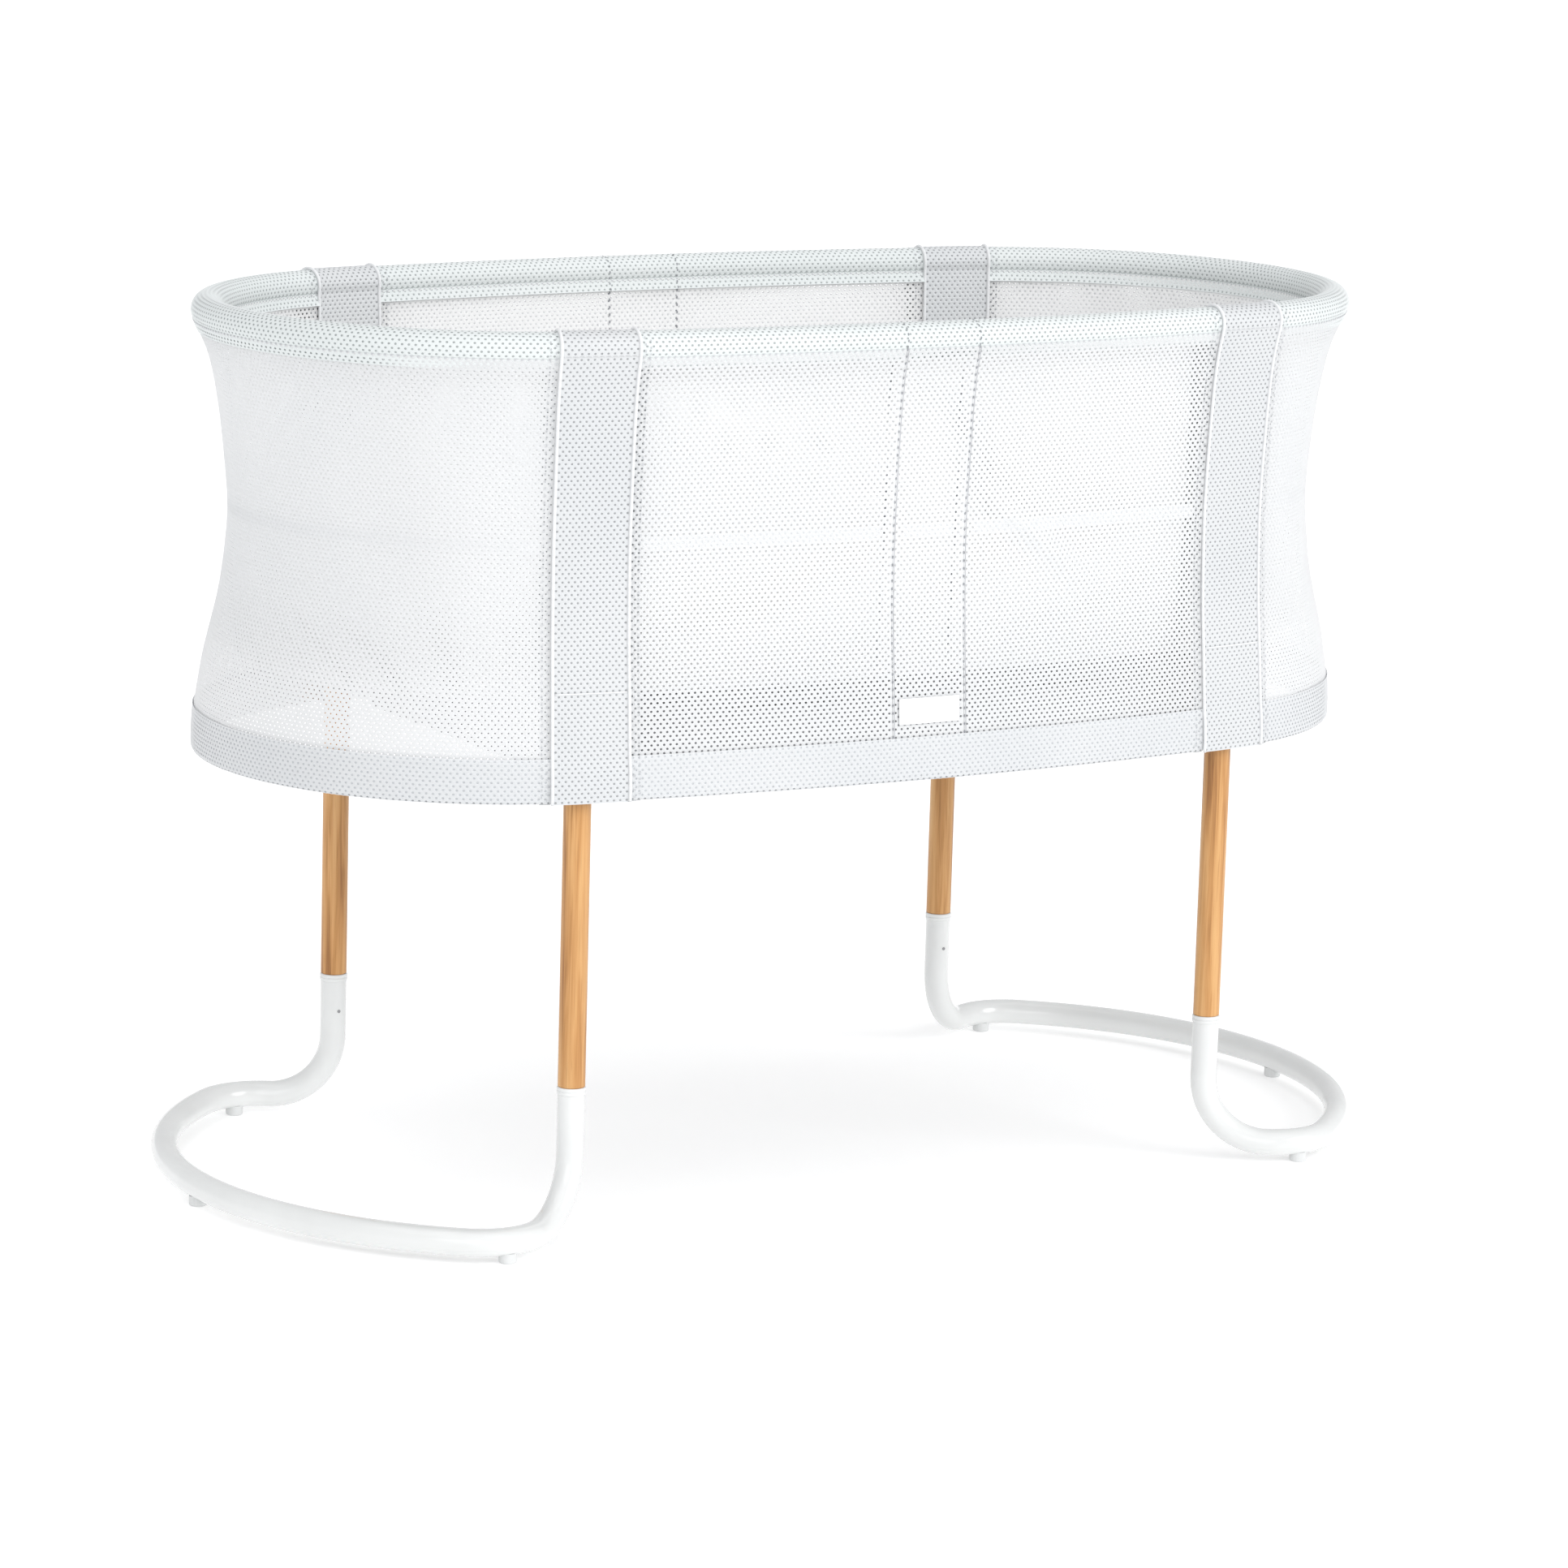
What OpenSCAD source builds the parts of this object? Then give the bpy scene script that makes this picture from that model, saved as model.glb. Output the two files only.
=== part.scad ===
// Baby cradle: a double-walled oval mesh basket that sways on a four-legged stand with two floor hoops.
// Front is -Y, the viewer's right is +X, up is +Z, and the floor is z = 0.

/* [Basket plan] */
// centre of each end arc of the basket's oval, from the middle
end_centre = 225; // [180:1:280]
// radius of the oval's end arcs at the rim's outer side
end_r = 197; // [150:1:230]
// half width of the oval at the rim's outer side
half_w = 213; // [200:1:260]

/* [Basket height] */
// top of the rim
rim_top = 595; // [500:1:700]
// height of the waist seam
waist_z = 458; // [400:1:500]
// bottom of the hem sleeve
hem_z = 293; // [250:1:320]
// height of the hem sleeve
hem_h = 28; // [18:1:40]
// underside of the base board
board_z = 358; // [348:1:373]
// thickness of the base board
board_t = 8; // [4:1:12]

/* [Rim, hoop strip and stays] */
// outside diameter of the rim's steel tube
rim_d = 18; // [14:0.5:22]
// wall of the steel tubes
tube_wall = 1.5; // [1:0.1:2.5]
// thickness of the flat strip in the hem
strip_t = 3; // [2:0.5:4]
// width of each upright stay
stay_w = 26; // [16:1:40]
// thickness of each upright stay
stay_t = 2.5; // [1.5:0.1:3]

/* [Fabric] */
// thickness of the mesh walls
cloth_t = 1.2; // [0.8:0.1:2]
// inner edge of each corner band, measured along X from the middle
band_in = 222; // [200:1:230]
// outer edge of each corner band, measured along X from the middle
band_out = 274; // [264:1:290]
// half width of the centre strip between its two seams
strip_half = 27.5; // [15:0.5:50]
// how far both centre strips and the label sit to the left of the middle
strip_off = 5; // [-10:1:10]
// gap left at each seam between two panels
seam_gap = 0.3; // [0.1:0.1:1]

/* [Mattress] */
// thickness of the mattress
mattress_t = 35; // [20:1:50]
// how far the mattress stays inside the rim's outer oval
mattress_in = 34; // [32:0.5:45]

/* [Stand] */
// legs from the middle along X
leg_x = 248; // [200:1:280]
// legs from the middle along Y
leg_y = 176; // [150:1:185]
// diameter of the wooden legs
leg_d = 18; // [16:0.5:24]
// lower end of the wood
leg_bottom = 103; // [70:1:150]
// upper end of the wood, inside the skirt
leg_top = 328; // [306:1:332]
// thickness of the collar between tube and wood
collar_t = 5; // [2:0.5:10]
// outside diameter of the floor hoops' tube
hoop_d = 18; // [14:0.5:22]
// direction of the hoop, off the basket's length, where it leaves each leg
hoop_heading = 33; // [20:1:40]
// half the angle of the hoop's end arc
hoop_turn = 52; // [45:0.5:58]
// radius of the hoop's corners in plan
hoop_corner = 42; // [36:1:60]
// radius of the bend from the floor up into each leg
hoop_elbow = 45; // [30:1:60]
// thickness of the foot pads
foot_t = 5; // [3:0.1:8]
// height of the screw that holds each leg's spigot in its stub
screw_z = 77; // [73:1:83]

/* [Sway gear] */
// fixed rods and swaying rods from the middle along X
rod_x = 205; // [190:1:215]
// diameter of all four rods
rod_d = 8; // [6:0.5:10]
// height of the fixed rods
rod_top_z = 344; // [336:1:348]
// distance between the two eyes of a link
link_len = 45; // [35:1:50]
// links from the middle along Y
link_y = 120; // [80:1:140]
// lower edge of the two long rails
rail_low = 307; // [305:1:338]
// lower edge of the two end rails
end_rail_low = 294; // [294:1:338]
// thickness of the end rails
end_rail_t = 2; // [1:0.5:3]
// radial clearance of a rod in an eye
rod_clear = 0.05; // [0.02:0.01:0.1]

/* [Hidden] */
$fn = 96;

// the oval: two end arcs and two side arcs that share their centres at every inset
side_r = (end_centre * end_centre + half_w * half_w - end_r * end_r) / (2 * (half_w - end_r));
side_c = side_r - half_w;
turn = atan2(side_c, end_centre);
lean = 90 - turn;
rim_r = rim_d / 2;
sleeve_r = rim_r + 0.3 + cloth_t;
rim_z = rim_top - sleeve_r;
stub_top = leg_bottom - collar_t;
hoop_z = foot_t + hoop_d / 2;
strip_z = hem_z + 2;
strip_h = hem_h - 5;
rod_low_z = rod_top_z - link_len;
mattress_z = board_z + board_t + 0.5;

// plan of a floor hoop: elbow, corner arc and one wide end arc
elbow_x = leg_x + hoop_elbow * cos(hoop_heading);
elbow_y = leg_y + hoop_elbow * sin(hoop_heading);
corner_x = elbow_x + hoop_corner * sin(hoop_heading);
corner_y = elbow_y - hoop_corner * cos(hoop_heading);
hoop_end_r = hoop_corner + corner_y / sin(hoop_turn);
hoop_end_c = corner_x - (hoop_end_r - hoop_corner) * cos(hoop_turn);
hoop_end = hoop_end_c + hoop_end_r;

// inset of the outer wall's outer side at each height: round the ends, then along the sides and bands
wall_line = [[0, rim_z - 5.3], [4, rim_z - 12.3], [12, rim_z - 31.3], [18.5, rim_z - 69.3],
    [22.6, waist_z + 19], [24, waist_z - 4], [22, waist_z - 28], [18, waist_z - 60],
    [13.5, board_z + 20], [8.5, board_z - 1], [6, board_z - 17], [3.2, hem_z + hem_h + 0.5]];
side_line = [[0, rim_z - 5.3], [2, rim_z - 12.3], [6, rim_z - 31.3], [9, rim_z - 69.3],
    [11, waist_z + 19], [11.6, waist_z - 4], [11, waist_z - 28], [9.6, waist_z - 60],
    [8, board_z + 20], [6, board_z - 1], [4.8, board_z - 17], [3.2, hem_z + hem_h + 0.5]];
// the same for the lining, round the ends and along the sides
lining_line = [[19.8, rim_z - 5.3], [24, rim_z - 18.3], [27.5, rim_z - 58.3], [28.8, waist_z],
    [29, waist_z - 52], [28.6, board_z + 20], [29, board_z + 0.5]];
side_lining_line = [[19.8, rim_z - 5.3], [21, rim_z - 18.3], [22, rim_z - 58.3], [23, waist_z],
    [25.5, waist_z - 52], [28.2, board_z + 20], [29, board_z + 0.5]];
// the outer side of the stays, just inside the bands
stay_line = [[9.3, rim_z - rim_r - 0.1], [9.6, rim_z - 16.3], [10, rim_z - 31.3], [10.8, rim_z - 69.3],
    [12.7, waist_z + 19], [13.3, waist_z - 4], [12.7, waist_z - 28], [11.3, waist_z - 60],
    [9.7, board_z + 20], [7.7, board_z - 1], [6.5, board_z - 17], [5, hem_z + 31], [4, hem_z + 25.2]];

// a point list of inset and height turned into a closed strip of thickness t
function strip(line, t) = concat(line, [for (i = [len(line) - 1:-1:0]) [line[i][0] + t, line[i][1]]]);
// the angle of a side arc, from its middle, at distance x along the basket on the rim's outer side
function side_at(x) = asin(x / side_r);
// the angle of an end arc, from its far end, at distance x along the basket
function end_at(x) = acos((x - end_centre) / end_r);

// sweep an inset profile round part of the right-hand end arc, from angle a to angle b
module end_sweep(a, b, base) {
    translate([end_centre, 0, 0])
    rotate([0, 0, a])
    rotate_extrude(angle = b - a)
    translate([base, 0])
    mirror([1, 0])
    children();
}

// sweep an inset profile along part of the rear side arc, where angle 0 is its middle
module side_sweep(a, b, base) {
    translate([0, -side_c, 0])
    rotate([0, 0, 90 - b])
    rotate_extrude(angle = b - a, $fn = 1080)
    translate([base, 0])
    mirror([1, 0])
    children();
}

module both_x() {
    children();
    mirror([1, 0, 0]) children();
}

module both_y() {
    children();
    mirror([0, 1, 0]) children();
}

// one whole side arc or end arc, a hair short of its neighbours
module side_run() {
    side_sweep(-lean + 0.0003, lean - 0.0003, side_r) children();
}

module end_run() {
    end_sweep(-turn + 0.003, turn - 0.003, end_r) children();
}

// sweep an inset profile round the whole oval in four lengths
module oval_runs() {
    both_x() end_run() children();
    both_y() side_run() children();
}

// corner points of the oval at an inset, one every few degrees
function end_point(side, i, inset) = [
    side * (end_centre + (end_r - inset) * cos(i * turn / 8)),
    (end_r - inset) * sin(i * turn / 8)];
function side_point(side, i, inset) = [
    (side_r - inset) * sin(i * lean / 8),
    side * ((side_r - inset) * cos(i * lean / 8) - side_c)];
function oval_points(inset) = concat(
    [for (i = [-8:8]) end_point(1, i, inset)],
    [for (i = [7:-1:-7]) side_point(1, i, inset)],
    [for (i = [8:-1:-8]) end_point(-1, i, inset)],
    [for (i = [-7:7]) side_point(-1, i, inset)]);

module oval_plate(inset, z, h) {
    translate([0, 0, z]) linear_extrude(height = h) polygon(oval_points(inset));
}

module at_legs() {
    both_x() both_y() translate([leg_x, leg_y, 0]) children();
}

// ring-shaped section of a bent tube, centred at distance d from the bend's axis
module tube_ring(d) {
    translate([d, 0])
    difference() {
        circle(r = hoop_d / 2, $fn = 48);
        circle(r = hoop_d / 2 - tube_wall, $fn = 48);
    }
}

// one arm of the right-hand hoop, from the leg to the end arc, each bend a hair short of the next
module hoop_arm() {
    translate([leg_x, leg_y, hoop_z + hoop_elbow + 0.01])
    linear_extrude(height = stub_top - hoop_z - hoop_elbow - 0.01)
    tube_ring(0);
    translate([elbow_x, elbow_y, hoop_z + hoop_elbow])
    rotate([0, 0, hoop_heading])
    rotate([90, 0, 0])
    rotate([0, 0, 180])
    rotate_extrude(angle = 89.98)
    tube_ring(hoop_elbow);
    translate([corner_x, corner_y, hoop_z])
    rotate([0, 0, hoop_turn])
    rotate_extrude(angle = 90 + hoop_heading - hoop_turn)
    tube_ring(hoop_corner);
}

module hoop_body() {
    hoop_arm();
    mirror([0, 1, 0]) hoop_arm();
    translate([hoop_end_c, 0, hoop_z])
    rotate([0, 0, 0.003 - hoop_turn])
    rotate_extrude(angle = 2 * hoop_turn - 0.006, $fn = 360)
    tube_ring(hoop_end_r);
}

// the three places of a hoop's foot pads
module at_feet() {
    translate([hoop_end, 0, 0]) children();
    both_y() translate([corner_x, corner_y + hoop_corner, 0]) children();
}

// screw positions: they face the inside of the stand on every stub
module half_screw_holes(r) {
    both_y()
    translate([leg_x, leg_y - hoop_d / 2 - 2, screw_z])
    rotate([-90, 0, 0])
    cylinder(r = r, h = 7.5, $fn = 24);
}

module hoop_shape() {
    difference() {
        hoop_body();
        half_screw_holes(1.3);
        at_feet() cylinder(r = 2.1, h = foot_t + 4, $fn = 24);
    }
}

module hoop_left() {
    color([0.93, 0.94, 0.93]) mirror([1, 0, 0]) hoop_shape();
}

module hoop_right() {
    color([0.93, 0.94, 0.93]) hoop_shape();
}

// six pads, three under each hoop, each held by a short stem in the tube's wall
module hoop_feet() {
    color([0.82, 0.83, 0.83])
    both_x()
    at_feet() {
        cylinder(d = 12, h = foot_t, $fn = 48);
        cylinder(r = 2, h = foot_t + 3, $fn = 24);
    }
}

module leg_collars() {
    color([0.95, 0.95, 0.94])
    at_legs()
    translate([0, 0, stub_top + 0.02])
    difference() {
        cylinder(d = leg_d + 1, h = collar_t - 0.04);
        translate([0, 0, -1]) cylinder(r = 4.1, h = collar_t + 2, $fn = 48);
    }
}

module leg_spigots() {
    color([0.6, 0.61, 0.62])
    difference() {
        at_legs() {
            translate([0, 0, screw_z - 9])
            cylinder(r = hoop_d / 2 - tube_wall - 0.15, h = stub_top - screw_z + 9);
            translate([0, 0, stub_top - 1]) cylinder(r = 4, h = 41, $fn = 48);
        }
        both_x() half_screw_holes(1.25);
    }
}

module leg_screws() {
    color([0.35, 0.35, 0.36])
    at_legs()
    translate([0, -hoop_d / 2, screw_z])
    rotate([-90, 0, 0])
    translate([0, 0, -0.2])
    cylinder(r = 1.2, h = 5.2, $fn = 24);
}

// rear right leg, the others are its mirror images
module leg_shape() {
    difference() {
        translate([leg_x, leg_y, leg_bottom]) cylinder(d = leg_d, h = leg_top - leg_bottom);
        translate([leg_x, leg_y, leg_bottom - 1]) cylinder(r = 4.1, h = 37, $fn = 48);
        bracket_screw_line(2.05, 12);
    }
}

module leg_front_left() {
    color([0.85, 0.69, 0.48]) mirror([1, 0, 0]) mirror([0, 1, 0]) leg_shape();
}

module leg_front_right() {
    color([0.85, 0.69, 0.48]) mirror([0, 1, 0]) leg_shape();
}

module leg_rear_left() {
    color([0.85, 0.69, 0.48]) mirror([1, 0, 0]) leg_shape();
}

module leg_rear_right() {
    color([0.85, 0.69, 0.48]) leg_shape();
}

plate_y = leg_y - leg_d / 2;

// two screws that hold each bracket to its leg, from the inside
module bracket_screw_line(r, depth) {
    for (z = [leg_top - 17, leg_top - 7])
    translate([leg_x, plate_y - 5, z])
    rotate([-90, 0, 0])
    cylinder(r = r, h = depth, $fn = 32);
}

module bracket_shape() {
    difference() {
        translate([0, plate_y, 0])
        rotate([90, 0, 0])
        linear_extrude(height = 4)
        polygon([[rod_x - 10, rod_top_z + 10], [rod_x - 10, rod_top_z - 9], [rod_x + 17, rod_top_z - 9],
            [leg_x - 9, leg_top - 23], [leg_x + 9, leg_top - 23], [leg_x + 9, rod_top_z + 10]]);
        bracket_screw_line(2.1, 12);
        translate([rod_x, plate_y - 6, rod_top_z]) rotate([-90, 0, 0]) cylinder(r = rod_d / 2 + 0.03, h = 8);
    }
}

module leg_brackets() {
    color([0.42, 0.43, 0.45]) both_x() both_y() bracket_shape();
}

module bracket_screws() {
    color([0.35, 0.35, 0.36])
    both_x() both_y()
    for (z = [leg_top - 17, leg_top - 7])
    translate([leg_x, plate_y - 4, z])
    rotate([-90, 0, 0]) {
        translate([0, 0, -2.2]) cylinder(r = 3.6, h = 2.2, $fn = 32);
        translate([0, 0, -0.5]) cylinder(r = 2, h = 11, $fn = 32);
    }
}

module rail_shape() {
    difference() {
        translate([-leg_x + 12, plate_y - 8, rail_low]) cube([2 * leg_x - 24, 4, rod_top_z + 10 - rail_low]);
        both_x()
        translate([rod_x, plate_y - 10, rod_top_z])
        rotate([-90, 0, 0])
        cylinder(r = rod_d / 2 + 0.03, h = 8);
    }
}

module rail_front() {
    color([0.42, 0.43, 0.45]) mirror([0, 1, 0]) rail_shape();
}

module rail_rear() {
    color([0.42, 0.43, 0.45]) rail_shape();
}

// thin rails that close the gear's two ends, between the long rails
module end_rail() {
    translate([rod_x + 23, 8.02 - plate_y, end_rail_low])
    cube([end_rail_t, 2 * plate_y - 16.04, rod_top_z + 10 - end_rail_low]);
}

module end_rail_left() {
    color([0.42, 0.43, 0.45]) mirror([1, 0, 0]) end_rail();
}

module end_rail_right() {
    color([0.42, 0.43, 0.45]) end_rail();
}

module hanger_rod() {
    translate([rod_x, -plate_y, rod_top_z]) rotate([-90, 0, 0]) cylinder(d = rod_d, h = 2 * plate_y);
}

module hanger_rod_left() {
    color([0.6, 0.61, 0.62]) mirror([1, 0, 0]) hanger_rod();
}

module hanger_rod_right() {
    color([0.6, 0.61, 0.62]) hanger_rod();
}

// rear right link: two eyes and a straight web
module link_shape() {
    translate([rod_x, link_y + 4, rod_top_z])
    rotate([90, 0, 0])
    linear_extrude(height = 8)
    difference() {
        union() {
            circle(r = 8);
            translate([0, -link_len]) circle(r = 8);
            translate([-5, -link_len]) square([10, link_len]);
        }
        circle(r = rod_d / 2 + rod_clear);
        translate([0, -link_len]) circle(r = rod_d / 2 + rod_clear);
    }
}

module link_front_left() {
    color([0.75, 0.76, 0.77]) mirror([1, 0, 0]) mirror([0, 1, 0]) link_shape();
}

module link_front_right() {
    color([0.75, 0.76, 0.77]) mirror([0, 1, 0]) link_shape();
}

module link_rear_left() {
    color([0.75, 0.76, 0.77]) mirror([1, 0, 0]) link_shape();
}

module link_rear_right() {
    color([0.75, 0.76, 0.77]) link_shape();
}

// half length of a swaying rod, up to the inner side of the hem sleeve
rod_half = sqrt(pow(side_r - 8.4, 2) - pow(rod_x + rod_d / 2, 2)) - side_c - 0.1;

module basket_rod() {
    translate([rod_x, -rod_half, rod_low_z]) rotate([-90, 0, 0]) cylinder(d = rod_d, h = 2 * rod_half);
}

module basket_rod_left() {
    color([0.6, 0.61, 0.62]) mirror([1, 0, 0]) basket_rod();
}

module basket_rod_right() {
    color([0.6, 0.61, 0.62]) basket_rod();
}

// four plates that carry the base board on the swaying rods
module bearer_plates() {
    color([0.42, 0.43, 0.45])
    both_x() both_y()
    translate([0, link_y - 18, 0])
    rotate([90, 0, 0])
    linear_extrude(height = 4)
    difference() {
        polygon([[rod_x - 9, rod_low_z - 8], [rod_x + 8, rod_low_z - 8], [rod_x + 8, rod_low_z + 7],
            [rod_x - 20, rod_low_z + 25], [rod_x - 23, board_z], [rod_x - 60, board_z],
            [rod_x - 60, board_z - 10]]);
        translate([rod_x, rod_low_z]) circle(r = rod_d / 2 + 0.03);
    }
}

module base_board() {
    color([0.55, 0.56, 0.57]) oval_plate(30.6, board_z, board_t);
}

module hem_strip() {
    color([0.8, 0.81, 0.82]) oval_runs() translate([3.5, strip_z]) square([strip_t, strip_h]);
}

// the rim tube comes in four lengths, each a single arc, joined by plugs
module rim_section(r_out, r_in) {
    translate([sleeve_r, rim_z])
    difference() {
        circle(r = r_out, $fn = 48);
        circle(r = r_in, $fn = 48);
    }
}

module rim_front() {
    color([0.93, 0.94, 0.93]) mirror([0, 1, 0]) side_run() rim_section(rim_r, rim_r - tube_wall);
}

module rim_rear() {
    color([0.93, 0.94, 0.93]) side_run() rim_section(rim_r, rim_r - tube_wall);
}

module rim_left() {
    color([0.93, 0.94, 0.93]) mirror([1, 0, 0]) end_run() rim_section(rim_r, rim_r - tube_wall);
}

module rim_right() {
    color([0.93, 0.94, 0.93]) end_run() rim_section(rim_r, rim_r - tube_wall);
}

// four short straight plugs that join the lengths inside the tube
module rim_plugs() {
    color([0.6, 0.61, 0.62])
    both_x() both_y()
    translate([end_centre, 0, 0])
    rotate([0, 0, turn])
    translate([end_r - sleeve_r, 15, rim_z])
    rotate([90, 0, 0])
    cylinder(r = rim_r - tube_wall - 0.7, h = 30, $fn = 48);
}

// a stay stands over its leg and follows the wall's waisted line
module stay_shape() {
    a = side_at(leg_x - stay_w / 2);
    side_sweep(a, lean, side_r) polygon(strip(stay_line, stay_t));
    end_sweep(end_at(leg_x + stay_w / 2), turn, end_r) polygon(strip(stay_line, stay_t));
}

module stay_front_left() {
    color([0.9, 0.9, 0.9]) mirror([1, 0, 0]) mirror([0, 1, 0]) stay_shape();
}

module stay_front_right() {
    color([0.9, 0.9, 0.9]) mirror([0, 1, 0]) stay_shape();
}

module stay_rear_left() {
    color([0.9, 0.9, 0.9]) mirror([1, 0, 0]) stay_shape();
}

module stay_rear_right() {
    color([0.9, 0.9, 0.9]) stay_shape();
}

// the sleeve is open below, where the stays meet the tube
module rim_sleeve() {
    color([0.9, 0.92, 0.94])
    oval_runs()
    difference() {
        rim_section(sleeve_r, rim_r + 0.3);
        translate([sleeve_r - 4, rim_z - 2 * sleeve_r]) square([8, 2 * sleeve_r]);
    }
}

module hem_sleeve() {
    color([0.9, 0.92, 0.94])
    oval_runs()
    translate([2, hem_z])
    difference() {
        square([6.4, hem_h]);
        translate([1, 1]) square([4.4, hem_h]);
    }
}

// one outer panel on the rear side between two distances along X
module wall_part(x1, x2) {
    side_sweep(side_at(x1 + seam_gap / 2), side_at(x2 - seam_gap / 2), side_r)
    polygon(strip(side_line, cloth_t));
}

module wall_end() {
    a = end_at(band_out + seam_gap / 2);
    end_sweep(-a, a, end_r) polygon(strip(wall_line, cloth_t));
}

module outer_end_left() {
    color([0.88, 0.91, 0.94]) mirror([1, 0, 0]) wall_end();
}

module outer_end_right() {
    color([0.88, 0.91, 0.94]) wall_end();
}

module outer_front_left() {
    color([0.88, 0.91, 0.94]) mirror([0, 1, 0]) wall_part(-band_in, -strip_half - strip_off);
}

module outer_front_centre() {
    color([0.88, 0.91, 0.94]) mirror([0, 1, 0])
    wall_part(-strip_half - strip_off, strip_half - strip_off);
}

module outer_front_right() {
    color([0.88, 0.91, 0.94]) mirror([0, 1, 0]) wall_part(strip_half - strip_off, band_in);
}

module outer_rear_left() {
    color([0.88, 0.91, 0.94]) wall_part(-band_in, -strip_half - strip_off);
}

module outer_rear_centre() {
    color([0.88, 0.91, 0.94]) wall_part(-strip_half - strip_off, strip_half - strip_off);
}

module outer_rear_right() {
    color([0.88, 0.91, 0.94]) wall_part(strip_half - strip_off, band_in);
}

// a corner band: closely woven cloth between the side panel and the end panel
module band_shape() {
    side_sweep(side_at(band_in + seam_gap / 2), lean - 0.0003, side_r) polygon(strip(side_line, cloth_t));
    end_sweep(end_at(band_out - seam_gap / 2), turn - 0.003, end_r) polygon(strip(side_line, cloth_t));
}

module band_front_left() {
    color([0.95, 0.96, 0.97]) mirror([1, 0, 0]) mirror([0, 1, 0]) band_shape();
}

module band_front_right() {
    color([0.95, 0.96, 0.97]) mirror([0, 1, 0]) band_shape();
}

module band_rear_left() {
    color([0.95, 0.96, 0.97]) mirror([1, 0, 0]) band_shape();
}

module band_rear_right() {
    color([0.95, 0.96, 0.97]) band_shape();
}

module lining_side() {
    side_sweep(-lean + 0.01, lean - 0.01, side_r) polygon(strip(side_lining_line, cloth_t));
}

module lining_end() {
    end_sweep(-turn + 0.05, turn - 0.05, end_r) polygon(strip(lining_line, cloth_t));
}

module lining_front() {
    color([0.88, 0.91, 0.94]) mirror([0, 1, 0]) lining_side();
}

module lining_rear() {
    color([0.88, 0.91, 0.94]) lining_side();
}

module lining_end_left() {
    color([0.88, 0.91, 0.94]) mirror([1, 0, 0]) lining_end();
}

module lining_end_right() {
    color([0.88, 0.91, 0.94]) lining_end();
}

// flat tape over the waist seam, on the sides and round the ends, left out across the bands
module waist_tape() {
    a = side_at(band_in - 4);
    b = end_at(band_out + 4);
    color([0.93, 0.95, 0.96]) {
        both_y() side_sweep(-a, a, side_r) translate([9.6, waist_z - 6]) square([1, 12]);
        both_x() end_sweep(-b, b, end_r) translate([22, waist_z - 6]) square([1, 12]);
    }
}

// a cord along each long edge of the four bands, just outside the wall, and behind each outer edge
// the turned-in cloth that reaches from the band to the deeper waist of the end panel
module band_piping() {
    line = [for (p = side_line) [p[0] - 1.7, p[1]]];
    a = side_at(band_in);
    b = end_at(band_out);
    n = len(wall_line) - 2;
    near = [for (i = [1:n]) [side_line[i][0] + cloth_t + 0.2, side_line[i][1]]];
    deep = [for (i = [n:-1:1]) [wall_line[i][0] + cloth_t + 0.4, wall_line[i][1]]];
    color([0.95, 0.96, 0.97])
    both_x() both_y() {
        side_sweep(a - 0.04, a + 0.04, side_r) polygon(strip(line, 1.5));
        end_sweep(b - 0.38, b + 0.38, end_r) polygon(strip(line, 1.5));
        end_sweep(b + 0.15, b + 0.6, end_r) polygon(concat(near, deep));
    }
}

// blank woven label on the centre strip, just above the hem sleeve
module fabric_label() {
    color([0.97, 0.97, 0.96])
    mirror([0, 1, 0])
    side_sweep(side_at(-23 - strip_off), side_at(23 - strip_off), side_r)
    polygon([[3.3, hem_z + 38], [2.5, hem_z + 38], [3.7, hem_z + 55], [4.5, hem_z + 55]]);
}

module mattress_core() {
    color([0.93, 0.92, 0.88]) oval_plate(mattress_in + 1.5, mattress_z, mattress_t - 1.5);
}

// fitted cover over the top and the sides, open below
module mattress_cover() {
    color([0.96, 0.96, 0.95])
    difference() {
        oval_plate(mattress_in, mattress_z + 0.3, mattress_t - 0.3);
        oval_plate(mattress_in + 1.2, mattress_z, mattress_t - 1.2);
    }
}

hoop_left();
hoop_right();
hoop_feet();
leg_collars();
leg_spigots();
leg_screws();
leg_front_left();
leg_front_right();
leg_rear_left();
leg_rear_right();
leg_brackets();
bracket_screws();
rail_front();
rail_rear();
end_rail_left();
end_rail_right();
hanger_rod_left();
hanger_rod_right();
link_front_left();
link_front_right();
link_rear_left();
link_rear_right();
basket_rod_left();
basket_rod_right();
bearer_plates();
base_board();
hem_strip();
rim_front();
rim_rear();
rim_left();
rim_right();
rim_plugs();
stay_front_left();
stay_front_right();
stay_rear_left();
stay_rear_right();
rim_sleeve();
hem_sleeve();
outer_end_left();
outer_end_right();
outer_front_left();
outer_front_centre();
outer_front_right();
outer_rear_left();
outer_rear_centre();
outer_rear_right();
band_front_left();
band_front_right();
band_rear_left();
band_rear_right();
lining_front();
lining_rear();
lining_end_left();
lining_end_right();
waist_tape();
band_piping();
fabric_label();
mattress_core();
mattress_cover();
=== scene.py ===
import math

import bpy
import numpy as np
from mathutils import Matrix, Vector


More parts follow.
